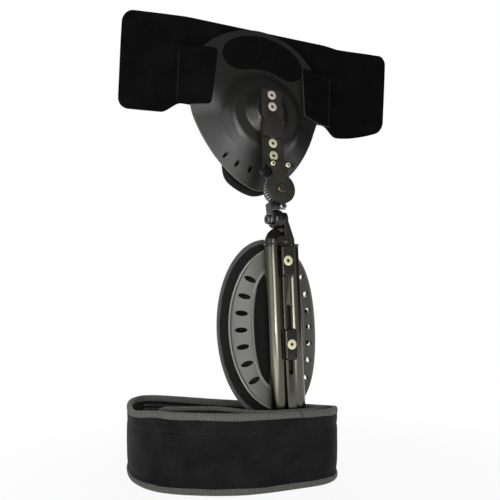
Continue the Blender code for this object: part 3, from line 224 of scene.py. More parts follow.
def finishPiece(piece, place, body, finish, nodes=None, smooth=35):
    piece.matrix_world = place
    freeze(piece)
    bpy.ops.object.shade_smooth_by_angle(angle=math.radians(smooth))
    piece.data.materials.clear()
    for material in finish if isinstance(finish, list) else [finish]:
        piece.data.materials.append(material)
    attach(piece, body)
    if nodes:
        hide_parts(nodes)
    return piece


def paintFaces(piece, place, test):
    # the second finish goes where test(point, normal) says, both as they lay when the piece was built
    home = place.inverted()
    for face in piece.data.polygons:
        face.material_index = int(test(home @ face.center, home.to_3x3() @ face.normal))


def smoothStep(low, high, value):
    share = min(max((value - low) / (high - low), 0.0), 1.0)
    return share * share * (3 - 2 * share)


def cornerTrim(corner, distance):
    # how far a round corner cuts in, at a distance from the end
    short = max(corner - distance, 0.0)
    return corner - math.sqrt(max(corner ** 2 - short ** 2, 0.0))


# materials

def linear(hexColour):
    shares = [int(hexColour[at:at + 2], 16) / 255 for at in (1, 3, 5)]
    return [share / 12.92 if share <= 0.04045 else ((share + 0.055) / 1.055) ** 2.4
            for share in shares] + [1.0]


def perMetre(millimetres):
    return 1000.0 / millimetres  # texture scale whose feature has this size


def addNode(owner, kind, settings=None, links=None):
    node = owner.node_tree.nodes.new(kind)
    for key, value in (settings or {}).items():
        if key in node.inputs:
            node.inputs[key].default_value = value
        else:
            setattr(node, key, value)
    for socket, (source, output) in (links or {}).items():
        owner.node_tree.links.new(source.outputs[output], node.inputs[socket])
    return node


def feed(owner, shader, socket, node, output):
    owner.node_tree.links.new(node.outputs[output], shader.inputs[socket])


def newMaterial(name, settings):
    material = bpy.data.materials.new(name)
    material.use_nodes = True
    shader = material.node_tree.nodes["Principled BSDF"]
    for key, value in settings.items():
        shader.inputs[key].default_value = value
    return material, shader


def setRamp(node, *stops):
    for element, (position, colour) in zip(node.color_ramp.elements, stops):
        element.position = position
        element.color = linear(colour)


def plastic(name, colour, rough, shine, grain, depth):
    # moulded plastic: an even satin face with a faint grain that spreads the highlight
    material, shader = newMaterial(name, {"Base Color": linear(colour), "Roughness": rough,
                                          "Specular IOR Level": shine})
    place = addNode(material, "ShaderNodeTexCoord")
    pits = addNode(material, "ShaderNodeTexNoise", {"Scale": perMetre(grain), "Detail": 3.0},
                   {"Vector": (place, "Object")})
    bump = addNode(material, "ShaderNodeBump", {"Strength": 0.3, "Distance": depth}, {"Height": (pits, 0)})
    feed(material, shader, "Normal", bump, "Normal")
    return material


def metal(name, colour, rough, grain, bare=1.0):
    # worked metal: reflections of the lamps, broken by fine handling marks
    material, shader = newMaterial(name, {"Base Color": linear(colour), "Metallic": bare})
    place = addNode(material, "ShaderNodeTexCoord")
    scuffs = addNode(material, "ShaderNodeTexNoise", {"Scale": perMetre(grain), "Detail": 4.0},
                     {"Vector": (place, "Object")})
    marks = addNode(material, "ShaderNodeMapRange", {"To Min": rough, "To Max": rough + 0.08},
                    {"Value": (scuffs, 0)})
    feed(material, shader, "Roughness", marks, "Result")
    return material


def loopCloth(name, dark, light, bloom):
    # brushed loop pile: dull, with a paler bloom where the face turns away
    material, shader = newMaterial(name, {"Roughness": 0.95, "Specular IOR Level": 0.04,
                                          "Sheen Weight": bloom, "Sheen Roughness": 0.45})
    place = addNode(material, "ShaderNodeTexCoord")
    fibres = addNode(material, "ShaderNodeTexNoise",
                     {"Scale": perMetre(1.3), "Detail": 4.0, "Roughness": 0.7},
                     {"Vector": (place, "Object")})  # real loops are finer than the picture shows
    patches = addNode(material, "ShaderNodeTexNoise", {"Scale": perMetre(24), "Detail": 3.0},
                      {"Vector": (place, "Object")})
    both = addNode(material, "ShaderNodeMath", {"operation": "MULTIPLY"}, {0: (fibres, 0), 1: (patches, 0)})
    tone = addNode(material, "ShaderNodeValToRGB", None, {"Fac": (both, 0)})
    setRamp(tone, (0.12, dark), (0.42, light))
    bump = addNode(material, "ShaderNodeBump", {"Strength": 0.5, "Distance": 0.0004}, {"Height": (fibres, 0)})
    feed(material, shader, "Base Color", tone, "Color")
    feed(material, shader, "Normal", bump, "Normal")
    return material


def ribbedTape(name, dark, light, ribs):
    # woven binding: ribs across its length, with a painted highlight on their crowns and painted shade between
    # them
    material, shader = newMaterial(name, {"Roughness": 0.85, "Specular IOR Level": 0.15,
                                          "Sheen Weight": 0.15})
    place = addNode(material, "ShaderNodeTexCoord")
    wave = addNode(material, "ShaderNodeTexWave", {"Scale": ribs * math.pi / 10, "Distortion": 0.3},
                   {"Vector": (place, "UV")})
    thread = addNode(material, "ShaderNodeTexNoise", {"Scale": perMetre(1.4), "Detail": 3.0},
                     {"Vector": (place, "Object")})
    both = addNode(material, "ShaderNodeMath", {"operation": "MULTIPLY"}, {0: (wave, 1), 1: (thread, 0)})
    tone = addNode(material, "ShaderNodeValToRGB", None, {"Fac": (both, 0)})
    setRamp(tone, (0.05, dark), (0.55, light))
    bump = addNode(material, "ShaderNodeBump", {"Strength": 0.35, "Distance": 0.0005}, {"Height": (wave, 1)})
    feed(material, shader, "Base Color", tone, "Color")
    feed(material, shader, "Normal", bump, "Normal")
    return material


def spacerMesh(name, dark, light):
    # knitted mesh: rows of small holes, drawn at 2 mm so that they show
    material, shader = newMaterial(name, {"Roughness": 0.9, "Specular IOR Level": 0.12, "Sheen Weight": 0.1})
    place = addNode(material, "ShaderNodeTexCoord")
    rows, columns = (addNode(material, "ShaderNodeTexWave",
                             {"bands_direction": way, "Scale": math.pi / 10 / 0.002},
                             {"Vector": (place, "Object")}) for way in "ZX")
    holes = addNode(material, "ShaderNodeMath", {"operation": "MULTIPLY"}, {0: (rows, 1), 1: (columns, 1)})
    tone = addNode(material, "ShaderNodeValToRGB", None, {"Fac": (holes, 0)})
    setRamp(tone, (0.15, light), (0.6, dark))
    bump = addNode(material, "ShaderNodeBump", {"Strength": 0.5, "Distance": 0.0005, "invert": True},
                   {"Height": (holes, 0)})
    feed(material, shader, "Base Color", tone, "Color")
    feed(material, shader, "Normal", bump, "Normal")
    return material


def hookTape(name, dark, glint):
    # hook tape: stiff pile with a scatter of painted glints on the hook ends
    material, shader = newMaterial(name, {"Roughness": 0.9, "Specular IOR Level": 0.06})
    place = addNode(material, "ShaderNodeTexCoord")
    cells = addNode(material, "ShaderNodeTexVoronoi", {"Scale": perMetre(2.4), "Randomness": 1.0},
                    {"Vector": (place, "Object")})  # drawn coarser than real hooks
    tone = addNode(material, "ShaderNodeValToRGB", None, {"Fac": (cells, "Distance")})
    setRamp(tone, (0.04, glint), (0.10, dark))
    bump = addNode(material, "ShaderNodeBump", {"Strength": 0.6, "Distance": 0.0006, "invert": True},
                   {"Height": (cells, "Distance")})
    feed(material, shader, "Base Color", tone, "Color")
    feed(material, shader, "Normal", bump, "Normal")
    return material


print("materials")
wingCloth = loopCloth("black brushed loop on foam", "#050505", "#0d0d0d", 0.0)
bandCloth = loopCloth("black velour on foam", "#131313", "#222222", 0.08)
# painted highlight: a paler finish on the foam's cut edge where it catches the light
tabEdgeHighlight = plastic("painted highlight on cut foam edge", "#2a2a2a", 0.7, 0.3, 0.8, 0.0001)
bindingTape = ribbedTape("grey grosgrain binding", "#3a3b37", "#6c6e68", 420)
linerTape = ribbedTape("dark grey woven binding", "#2b2b2b", "#646364", 320)
linerMesh = spacerMesh("black spacer mesh", "#040404", "#171716")
patchHooks = hookTape("black hook tape", "#060606", "#5c5c57")
blackThread = plastic("black polyester thread", "#1a1a1a", 0.7, 0.3, 0.5, 0.0001)
seamThread = plastic("charcoal polyester thread", "#2b2b2a", 0.7, 0.3, 0.5, 0.0001)
zigzagThread = plastic("grey polyester thread", "#4c4d48", 0.7, 0.3, 0.5, 0.0001)
pelvicPlastic = plastic("black thermoformed polyethylene", "#161615", 0.32, 0.4, 2.5, 0.00004)
rimPlastic = plastic("trimmed polyethylene edge", "#4c4c48", 0.5, 0.4, 1.5, 0.00005)
thighPlastic = plastic("charcoal moulded polyethylene", "#444540", 0.42, 0.45, 2.0, 0.00004)
# painted highlight: a paler finish on the shell's lips, standing in for the light they catch
lipHighlight = plastic("painted highlight on polyethylene lip", "#62645d", 0.35, 0.5, 2.0, 0.00004)
blackNylon = plastic("black glass-filled nylon", "#151514", 0.45, 0.4, 1.2, 0.00006)
platePlastic = plastic("brown-black moulded nylon", "#201d1b", 0.38, 0.4, 1.2, 0.00004)
anodised = metal("black anodised aluminium", "#5b5b51", 0.16, 3.0)
coverPaint = plastic("olive-black powder coat", "#1f2016", 0.42, 0.4, 0.7, 0.00006)
castBlack = plastic("gloss black cast zinc", "#12110a", 0.09, 0.42, 4.0, 0.00003)
greySteel = metal("grey blasted steel", "#5f5e65", 0.36, 0.8)
brightSteel = metal("bright steel", "#b9b8b6", 0.2, 1.2)
yellowZinc = metal("yellow zinc-plated steel", "#e2deba", 0.3, 1.0, bare=0.6)
nickelSteel = metal("nickel-plated steel", "#dfd3cb", 0.3, 1.0, bare=0.65)
bronzeSteel = metal("bronze-plated steel", "#635a47", 0.24, 1.0)
# black oxide steel on the lock lever; on the toothed ring the same dark finish is painted shade between the
# teeth
oxideSteelAndToothShade = metal("black oxide steel, also painted shade between teeth", "#2e2c32", 0.3, 0.9)
# painted shade: a dark finish that stands in for the shade deep inside a hex socket
socketShade = plastic("painted shade in hex socket", "#2c2a27", 0.6, 0.2, 0.5, 0.00003)


# metal pieces

def twinSolid(name, grow, low, high):
    # the upright's section: two barrels, a web between them and the rib in front
    radius, half = upright["barrelRadius"] + grow, upright["barrelSpacing"] / 2
    front, back = -upright["ribFront"] - grow, radius - 0.0001
    tall, middle = high - low, (high + low) / 2
    solid = block(name, (upright["ribWidth"] + 2 * grow, back - front, tall), (0, (back + front) / 2, middle))
    roundEdges(solid, lambda at, along: at.y < front + tiny and abs(at.x) > upright["ribWidth"] / 2 - tiny
               and abs(along.z) > tiny, upright["chamfer"], 3)
    merge(solid, block("web", (2 * half, radius, tall), (0, back - radius / 2, middle)))
    for side in (-half, half):
        merge(solid, drum("barrel", radius, tall, (side, 0, middle), "Z", 96))
    return solid


def slotTool(width, low, high, front, back):
    middle, deep = (front + back) / 2, back - front
    tool = block("slot", (width, deep, high - low - width), (0, middle, (low + high) / 2))
    for end in (low + width / 2, high - width / 2):
        merge(tool, drum("end", width / 2, deep, (0, middle, end), "Y", 48))
    return tool


def screwBody(form, grow=0.0):
    # head towards +Z and shank towards -Z; a sunk head ends at z = 0 and a raised one starts there
    head, shank, deep = form["head"] + grow, form["shank"] + grow, form["depth"]
    middle = -deep / 2 if form["sunk"] else deep / 2
    body = drum("screw", head, deep, (0, 0, middle), "Z", 56)
    chooseFaces(body, lambda at, normal: normal.z < -0.9)
    if form["sunk"]:
        share = shank / head
        bpy.ops.transform.resize(value=(share, share, 1), center_override=(0, 0, middle - deep / 2))
    else:
        bpy.ops.mesh.inset(thickness=head - shank)
    bpy.ops.mesh.extrude_region_move(TRANSFORM_OT_translate={"value": (0, 0, -form["length"])})
    bpy.ops.object.mode_set(mode="OBJECT")
    return body


def makeScrew(name, form, place, body, finish, node):
    screw = screwBody(form)
    top = 0.0 if form["sunk"] else form["depth"]
    if not form["sunk"]:
        roundEdges(screw, lambda at, along: at.z > top - tiny, form["crown"], 4)
    carve(screw, drum("socket", form["socket"], form["bore"] * 2, (0, 0, top), "Z", 6))
    breakEdges(screw, 0.00016)
    screw.name = name
    finishPiece(screw, place, body, [finish, socketShade], node)
    # the socket's walls and floor get the painted shade
    paintFaces(screw, place, lambda at, facing: math.hypot(at.x, at.y) < form["socket"] * 0.97
               and at.z < top - 0.0001)


def frontFacing(base, x, depth, z):
    return base @ Matrix.Translation((x, -depth, z)) @ Matrix.Rotation(math.pi / 2, 4, "X")


print("upright and slider")
upright = {"length": 0.173, "barrelRadius": 0.0082, "barrelSpacing": 0.0208, "bore": 0.0050,
           "ribWidth": 0.0100, "ribFront": 0.0090, "chamfer": 0.0004, "slotWidth": 0.0050, "slotLow": -0.0454,
           "slotHigh": 0.0234, "slotFront": -0.0200, "slotBack": -0.0010, "wayWidth": 0.0088,
           "wayFront": -0.0042, "wayBack": 0.0026, "head": 0.0045}
half, through = upright["length"] / 2, upright["length"] + overrun
profile = twinSolid("upright_profile", 0.0, -half, half - upright["head"])
carve(profile, *[drum("bore", upright["bore"], through, (side * upright["barrelSpacing"] / 2, 0, 0), "Z", 48)
                 for _, side in sides])
carve(profile, block("way", (upright["wayWidth"], upright["wayBack"] - upright["wayFront"], through),
                     (0, (upright["wayFront"] + upright["wayBack"]) / 2, 0)))
carve(profile, slotTool(upright["slotWidth"], upright["slotLow"], upright["slotHigh"],
                        upright["slotFront"], upright["slotBack"]))
breakEdges(profile, 0.00025)
finishPiece(profile, thighPlace, "thigh_cuff", anodised, "thigh_upright")

clampScrew = {"head": 0.0050, "shank": 0.0024, "depth": 0.0022, "length": 0.0050, "socket": 0.0018,
              "bore": 0.0022, "sunk": True}
clamps = {"width": 0.0132, "height": 0.0310, "thick": 0.0036, "back": 0.0094, "corner": 0.0030,
          "pillow": 0.0016, "sinkGap": 0.00012, "upperRise": 0.0670, "lowerRise": -0.0158}
front = -clamps["back"] - clamps["thick"]
for level, body, base, rise in (("upper", "thigh_cuff", thighPlace, clamps["upperRise"]),
                                ("lower", "slider", slidePlace, clamps["lowerRise"] - half)):
    plate = block(level + "_clamp_block", (clamps["width"], clamps["thick"], clamps["height"]),
                  (0, front + clamps["thick"] / 2, rise))
    roundEdges(plate, lambda at, along: abs(along.y) > tiny, clamps["corner"], 7)
    roundEdges(plate, lambda at, along: at.y < front + tiny, clamps["pillow"], 5)
    sink = screwBody(clampScrew, clamps["sinkGap"])
    sink.matrix_world = frontFacing(Matrix.Identity(4), 0, -front, rise)
    carve(plate, freeze(sink))
    breakEdges(plate, 0.00015, 2, 50)
    finishPiece(plate, base, body, castBlack, level + "_clamp")
    makeScrew(level + "_clamp_hexscrew", clampScrew, frontFacing(base, 0, -front, rise), body, yellowZinc,
              level + "_clamp_screw")

cap = {"grow": 0.0008, "flange": 0.0017, "gap": -0.0042, "domeTop": 0.0136, "cheekLeft": 0.0010,
       "cheekRight": 0.0057, "cheekRadius": 0.0075, "gusset": 0.0080, "gussetDeep": 0.0100,
       "gussetOver": 0.0040, "gussetFoot": 0.0010, "lap": 0.0005, "domeAcross": -0.0071,
       "domeHalf": (0.0112, 0.0086), "arch": 0.0084, "archAcross": -0.0038, "archFront": 0.0096,
       "hollow": 0.0062, "hollowFloor": 0.0066, "bolt": 0.0033, "grain": 0.00036}
flangeTop = cap["gap"] + cap["flange"]
flange = twinSolid("flange", cap["grow"], cap["gap"], flangeTop)
dome = ball("dome", 1, 72, 36)
dome.scale = (*cap["domeHalf"], cap["domeTop"] - flangeTop)
dome.location = (cap["domeAcross"], 0, flangeTop)
freeze(dome)
merge(dome, drum("arch", cap["arch"], cap["archFront"],
                 (cap["archAcross"], -cap["archFront"] / 2, flangeTop)))
carve(dome, drum("hollow", cap["hollow"], 0.02, (cap["archAcross"], -cap["hollowFloor"] - 0.01, flangeTop)),
      block("belowDome", (0.06, 0.04, 0.04), (0, 0, flangeTop - cap["lap"] - 0.02)))
cheekMiddle, cheekWidth = (cap["cheekRight"] + cap["cheekLeft"]) / 2, cap["cheekRight"] - cap["cheekLeft"]
cheek = drum("cheek", cap["cheekRadius"], cheekWidth, (cheekMiddle, 0, pivotRise), "X", 72)
post = block("post", (cheekWidth, 2 * cap["cheekRadius"], pivotRise - flangeTop),
             (cheekMiddle, 0, (pivotRise + flangeTop) / 2))
webTop = pivotRise + cap["gussetOver"]
web = block("gusset", (cap["gusset"], cap["gussetDeep"], webTop - flangeTop),
            (cap["cheekRight"] + cap["gusset"] / 2 - cap["lap"], 0, (webTop + flangeTop) / 2))
chooseEdges(web, lambda at, along: at.z > pivotRise and at.x > cap["cheekRight"] + cap["gusset"] / 2)
bpy.ops.transform.translate(value=(0, 0, flangeTop - pivotRise + cap["gussetFoot"]))
bpy.ops.object.mode_set(mode="OBJECT")
casting = joinAll("clevis_casting", [flange, dome, cheek, post, web])
modify(casting, "REMESH", mode="VOXEL", voxel_size=cap["grain"])
modify(casting, "SMOOTH", factor=0.5, iterations=5)
carve(casting, drum("boltWay", cap["bolt"], 0.04, (0, 0, pivotRise), "X", 40))
finishPiece(casting, slidePlace, "slider", castBlack, "clevis_cap", smooth=60)

knuckle = {"radius": 0.0100, "width": 0.0100, "right": 0.0006, "bore": 0.0034}
pivotBall = ball("knuckle", knuckle["radius"], 96, 64, (0, math.pi / 2, 0))
carve(pivotBall, *[block("face", (0.02, 0.03, 0.03), (side * (knuckle["width"] / 2 + 0.01), 0, 0))
                   for _, side in sides], drum("bore", knuckle["bore"], 0.05, (0, 0, 0), "X", 40))
breakEdges(pivotBall, 0.0004, 3)
finishPiece(pivotBall, hipPlace @ Matrix.Translation((knuckle["right"] - knuckle["width"] / 2, 0, 0)),
            "hip_link", castBlack, "pivot_drum", smooth=40)

pivotBolt = {"head": 0.0048, "shank": 0.0030, "depth": 0.0026, "length": 0.0185, "socket": 0.0024,
             "bore": 0.0015, "sunk": False, "crown": 0.0009, "across": -0.0133}
makeScrew("abduction_hexbolt", pivotBolt,
          slidePlace @ Matrix.Translation((pivotBolt["across"], 0, pivotRise))
          @ Matrix.Rotation(-math.pi / 2, 4, "Y"), "slider", greySteel, "abduction_bolt")

print("hinge")


def dressNode(node, body, finish, width, steps=3):
    # a node's own form, with the edges that punching and tumbling leave on it
    source = frame["nodes"][node]
    piece = source.copy()
    piece.data = source.data.copy()
    piece.parent = None
    for key in [key for key in piece.keys() if key.startswith("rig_")]:
        del piece[key]
    bpy.context.scene.collection.objects.link(piece)
    piece.name = node + "_edged"
    pickAll(faceOut(piece))
    bpy.ops.mesh.dissolve_limited(angle_limit=math.radians(2))
    bpy.ops.object.mode_set(mode="OBJECT")
    breakEdges(piece, width, steps, 32)
    modify(piece, "WEIGHTED_NORMAL", keep_sharp=True)
    return finishPiece(piece, Matrix.Identity(4), body, finish, node, smooth=32)


dressNode("lower_arm", "hip_link", greySteel, 0.0004)
teeth = {"root": 0.0130, "tip": 0.0160}
ring = dressNode("toothed_ring", "hip_link", [brightSteel, oxideSteelAndToothShade], 0.0002, 2)
paintFaces(ring, dialPlace, lambda at, facing: teeth["root"] < math.hypot(at.x, at.z) < teeth["tip"]
           and abs(facing.y) < 0.5)  # painted shade on the tooth flanks, between the teeth
dressNode("hinge_cover", "pelvic_half", coverPaint, 0.0009)
dressNode("upper_arm", "pelvic_half", coverPaint, 0.0006)
dressNode("shell_plate", "pelvic_half", platePlastic, 0.0010)
dressNode("lock_lever", "lock_lever", oxideSteelAndToothShade, 0.0004)

# each screw's place is across, forward and up from its joint
stopScrew = {"head": 0.0036, "shank": 0.0015, "depth": 0.0042, "length": 0.0030, "socket": 0.0021,
             "bore": 0.0020, "sunk": False, "crown": 0.0005, "place": (0.0027, 0.0022, 0.0132)}
makeScrew("stop_hexscrew", stopScrew, frontFacing(hipPlace, *stopScrew["place"]), "hip_link", brightSteel,
          "stop_screw")
hubScrew = {"head": 0.0050, "shank": 0.0031, "depth": 0.0017, "length": 0.0180, "socket": 0.0019,
            "bore": 0.0012, "sunk": False, "crown": 0.0010, "place": (0, 0.0122, 0)}
makeScrew("hinge_hexscrew", hubScrew, frontFacing(dialPlace, *hubScrew["place"]), "pelvic_half", bronzeSteel,
          "hinge_screw")
earScrew = {"head": 0.0026, "shank": 0.0015, "depth": 0.0013, "length": 0.0150, "socket": 0.0012,
            "bore": 0.0008, "sunk": False, "crown": 0.0006, "place": (0.0087, 0.0122, 0.0252)}
for name, side in sides:
    across, forward, up = earScrew["place"]
    makeScrew(name + "_ear_screw", earScrew, frontFacing(dialPlace, side * across, forward, up),
              "pelvic_half", yellowZinc, name + "_cover_screw")
sunkScrew = {"head": 0.0050, "shank": 0.0024, "depth": 0.0022, "length": 0.0060, "socket": 0.0018,
             "bore": 0.0022, "sunk": True, "plateFront": 0.0033}
for level, armRise, plateRise in (("lower", 0.0387, 0.0915), ("upper", 0.0523, 0.1045)):
    makeScrew(level + "_arm_hexscrew", sunkScrew, frontFacing(dialPlace, 0, 0, armRise), "pelvic_half",
              yellowZinc, level + "_arm_screw")
    makeScrew(level + "_plate_hexscrew", sunkScrew,
              frontFacing(dialPlace, 0, sunkScrew["plateFront"], plateRise), "pelvic_half", nickelSteel,
              level + "_plate_screw")

print("pelvic shell")
pelvic = {"bottom": 0.0105, "middle": 0.1220, "top": 0.1870, "halfWidth": 0.0820, "lowerPower": 1.66,
          "upperPower": 1.90, "wall": 0.0030, "domeRise": 0.0900, "front": 0.0043, "inner": (0.0150, 0.0260),
          "outer": (0.0360, 0.0490), "flange": 0.0425, "drops": (0.0040, 0.0027, 0.0050), "rimDepth": 0.0355,
          "foldRise": 0.0860, "slope": 0.207, "vents": 7, "ventStep": 14.0, "ventRadius": 0.0610,
          "ventLength": 0.0064, "ventWidth": 0.0034, "ventReach": 0.0800, "seatWidth": 0.0240,
          "seatHeight": 0.0540, "seatRise": 0.0845, "rimWidth": 0.0012}


def onEgg(reach, angle):
    return reach * math.cos(angle), pelvic["domeRise"] + reach * math.sin(angle)


def eggReach(angle, grow=0.0):
    # from the middle of the steps to the shell's outline, found by halving
    low, high = 0.0, 0.36
    for _ in range(36):
        reach = (low + high) / 2
        x, z = onEgg(reach, angle)
        z -= pelvic["middle"]
        if z < 0:
            size, power = pelvic["middle"] - pelvic["bottom"], pelvic["lowerPower"]
        else:
            size, power = pelvic["top"] - pelvic["middle"], pelvic["upperPower"]
        inside = (abs(x) / (pelvic["halfWidth"] + grow)) ** power + (abs(z) / (size + grow)) ** power < 1
        low, high = (reach, high) if inside else (low, reach)
    return low


def rimDepth(z):
    return pelvic["rimDepth"] - pelvic["slope"] * max(z - pelvic["foldRise"], 0.0)


def domeDepth(x, z):
    radius, angle = math.hypot(x, z - pelvic["domeRise"]), math.atan2(z - pelvic["domeRise"], x)
    innerDrop, slopeDrop, outerDrop = pelvic["drops"]
    depth = pelvic["front"] + innerDrop * smoothStep(*pelvic["inner"], radius)
    terrace = sum(pelvic["inner"]) / 2  # the slopes begin and end inside the steps, so no flat ring shows
    depth += slopeDrop * min(max((radius - terrace) / (pelvic["flange"] - terrace), 0.0), 1.0)
    depth += outerDrop * smoothStep(*pelvic["outer"], radius)
    reach = eggReach(angle)
    share = min(max((radius - pelvic["flange"]) / (reach - pelvic["flange"]), 0.0), 1.0)
    atRim = rimDepth(pelvic["domeRise"] + reach * math.sin(angle))
    return depth + (atRim - pelvic["front"] - innerDrop - slopeDrop - outerDrop) * share ** 1.08


def pelvicPoint(across, along):
    angle = 2 * math.pi * across
    reach = eggReach(angle) * along
    x, z = onEgg(reach, angle)
    boss = pelvic["front"] * (1 - smoothStep(*pelvic["inner"], reach))  # comes forward to hold the plate
    return x, domeDepth(x, z) - boss, z


def onPelvicRim(at, facing):
    ray = Vector((at.x, 0, at.z - pelvic["domeRise"]))
    edge = eggReach(math.atan2(ray.z, ray.x)) - pelvic["rimWidth"]
    return ray.length > edge and abs(facing.dot(ray.normalized())) > 0.55


pelvicShell = skin("pelvic_shell_skin", 168, 64, pelvicPoint, pelvic["wall"], 0.0008, 3, 55)
carve(pelvicShell, block("armSeat", (pelvic["seatWidth"], pelvic["front"] + overrun, pelvic["seatHeight"]),
                         (0, (pelvic["front"] - overrun) / 2, pelvic["seatRise"])))
for vent in range(pelvic["vents"]):
    turn = math.radians((vent - (pelvic["vents"] - 1) / 2) * pelvic["ventStep"]) - math.pi / 2
    tool = slotTool(pelvic["ventWidth"], -pelvic["ventLength"] / 2, pelvic["ventLength"] / 2, 0.0,
                    pelvic["ventReach"])
    tool.matrix_world = (Matrix.Translation((0, 0, pelvic["domeRise"]))
                         @ Matrix.Rotation(math.pi / 2 - turn, 4, "Y")
                         @ Matrix.Translation((0, 0, pelvic["ventRadius"])))
    carve(pelvicShell, freeze(tool))
finishPiece(pelvicShell, dialPlace, "pelvic_half", [pelvicPlastic, rimPlastic], "pelvic_shell", smooth=40)
paintFaces(pelvicShell, dialPlace, onPelvicRim)

print("thigh shell")
cuff = {"radius": 0.0878, "axis": 0.0963, "halfHeight": 0.0825, "halfWidth": 0.0540, "windowHeight": 0.0600,
        "windowWidth": 0.0290, "windowPower": 2.6, "wall": 0.0030, "lip": 0.0016, "groove": 0.0009,
        "holes": 7, "holeStep": 0.0168, "holeLength": 0.0127, "holeWidth": 0.0054, "holeInset": 0.0126,
        "windowLip": (0.05, 0.09), "rimLip": (0.87, 0.92), "rimShare": 0.4, "grooveAt": 0.90,
        "grooveWidth": 0.016, "paleWindow": 1.16, "paleRim": 0.955}


def onThigh(arc, z, radius, turn=0.0):
    angle = arc / cuff["radius"] + turn
    return Vector((radius * math.sin(angle), cuff["axis"] - radius * math.cos(angle), z))


def oval(angle, halfWidth, halfHeight, power=2.0):
    across, up = abs(math.cos(angle)) / halfWidth, abs(math.sin(angle)) / halfHeight
    reach = (across ** power + up ** power) ** (-1 / power)
    return reach * math.cos(angle), reach * math.sin(angle)


def cuffPoint(across, along):
    # from the window to the rim, with a lip at each and a groove inside the rim's
    angle = 2 * math.pi * across
    rim = oval(angle, cuff["halfWidth"], cuff["halfHeight"])
    window = oval(angle, cuff["windowWidth"], cuff["windowHeight"], cuff["windowPower"])
    arc, z = (inner + (outer - inner) * along for inner, outer in zip(window, rim))
    lip = cuff["lip"] * (1 - smoothStep(*cuff["windowLip"], along))
    lip += cuff["rimShare"] * cuff["lip"] * smoothStep(*cuff["rimLip"], along)
    lip -= cuff["groove"] * math.exp(-((along - cuff["grooveAt"]) / cuff["grooveWidth"]) ** 2)
    lip *= smoothStep(upright["ribWidth"] * 2, upright["ribWidth"] * 3.2, abs(arc))
    return onThigh(arc, z, cuff["radius"] + lip)


def onThighLip(at, facing):
    arc = math.atan2(at.x, cuff["axis"] - at.y) * cuff["radius"]
    power = cuff["windowPower"]
    window = (abs(arc) / cuff["windowWidth"]) ** power + (abs(at.z) / cuff["windowHeight"]) ** power
    rim = (arc / cuff["halfWidth"]) ** 2 + (at.z / cuff["halfHeight"]) ** 2
    return window < cuff["paleWindow"] or rim > cuff["paleRim"]


thighShell = skin("thigh_shell_skin", 200, 60, cuffPoint, cuff["wall"], 0.0006, 3)
for _, side in sides:
    for hole in range(cuff["holes"]):
        z = (hole - (cuff["holes"] - 1) / 2) * cuff["holeStep"]
        edge = cuff["halfWidth"] * math.sqrt(1 - (z / cuff["halfHeight"]) ** 2)
        arc = side * (edge - cuff["holeInset"])
        lean = side * math.atan2(z * cuff["halfWidth"] ** 2, edge * cuff["halfHeight"] ** 2)
        tool = drum("vent", 0.5, 0.02, (0, 0, 0), "Y", 32)
        tool.scale = (cuff["holeLength"], 1, cuff["holeWidth"])
        freeze(tool)
        tool.matrix_world = (Matrix.Translation(onThigh(arc, z, cuff["radius"]))
                             @ Matrix.Rotation(arc / cuff["radius"], 4, "Z") @ Matrix.Rotation(-lean, 4, "Y"))
        carve(thighShell, freeze(tool))
finishPiece(thighShell, thighPlace, "thigh_cuff", [thighPlastic, lipHighlight], "thigh_shell", smooth=40)
# the lips along the window and the rim get the painted highlight
paintFaces(thighShell, thighPlace, onThighLip)

print("soft pieces")


def stitchRow(name, spots, size, place, body, finish):
    # one stitch is modelled and the rest are copies of it: spots are (place, along, out)
    pattern = ball("stitch", 0.5, 8, 5)
    made = []
    for at, along, out in spots:
        stitch = pattern.copy()
        stitch.data = pattern.data.copy()
        along, out = Vector(along).normalized(), Vector(out).normalized()
        turn = Matrix((along, out, along.cross(out))).transposed().to_4x4()
        stitch.matrix_world = Matrix.Translation(at) @ turn @ Matrix.Diagonal((*size, 1))
        bpy.context.scene.collection.objects.link(stitch)
        made.append(stitch)
    bpy.data.objects.remove(pattern, do_unlink=True)
    finishPiece(freeze(joinAll(name, made)), place, body, finish, smooth=180)


def inflate(pad, cell, limit):
    # air pressure rounds the pad out; no point goes further than limit from where it was
    modify(pad, "REMESH", mode="VOXEL", voxel_size=cell)
    before = [point.co.copy() for point in pad.data.vertices]
    frames = 20
    pickOnly(pad)
    cloth = pad.modifiers.new("Cloth", "CLOTH")
    cloth.settings.use_pressure = True
    cloth.settings.uniform_pressure_force = 4.0
    cloth.settings.effector_weights.gravity = 0
    cloth.settings.quality = 4
    cloth.point_cache.frame_start, cloth.point_cache.frame_end = 1, frames
    for number in range(1, frames + 1):
        bpy.context.scene.frame_set(number)
    bpy.ops.object.modifier_apply(modifier=cloth.name)
    bpy.context.scene.frame_set(1)
    for point, start in zip(pad.data.vertices, before):
        step = point.co - start
        if step.length > limit:
            point.co = start + step * (limit / step.length)
    return modify(pad, "SUBSURF", levels=1, render_levels=1)


def roundedPad(name, corners, rings, layer):
    # a ball pressed into a pad: layer(angle, share, side) gives each point, side from -1 in front to 1 behind
    pad = ball(name, 1, corners, rings, (math.pi / 2, 0, 0))
    for point in pad.data.vertices:
        share = min(math.hypot(point.co.x, point.co.z), 1.0)
        side = math.copysign(abs(min(max(point.co.y, -1), 1)) ** 0.3, point.co.y)
        point.co = layer(math.atan2(point.co.z, point.co.x), share, side)
    return faceOut(pad)


thighPad = {"turn": math.radians(-6.5), "outer": 0.0824, "thick": 0.0105, "halfHeight": 0.0834,
            "halfWidth": 0.0520, "piping": 0.0026, "reach": 0.0050, "middle": 0.0769, "under": 0.0052,
            "swell": 0.0008, "crease": 0.22, "creaseWidth": 0.35, "pipingTall": 1.9}


def thighPadPoint(angle, share, side):
    under = thighPad["under"]  # the pad ends inside its piping
    arc, z = oval(angle, thighPad["halfWidth"] + under, thighPad["halfHeight"] + under)
    half = thighPad["thick"] / 2
    return onThigh(arc * share, z * share, thighPad["outer"] - half - side * (half - thighPad["swell"]),
                   thighPad["turn"])


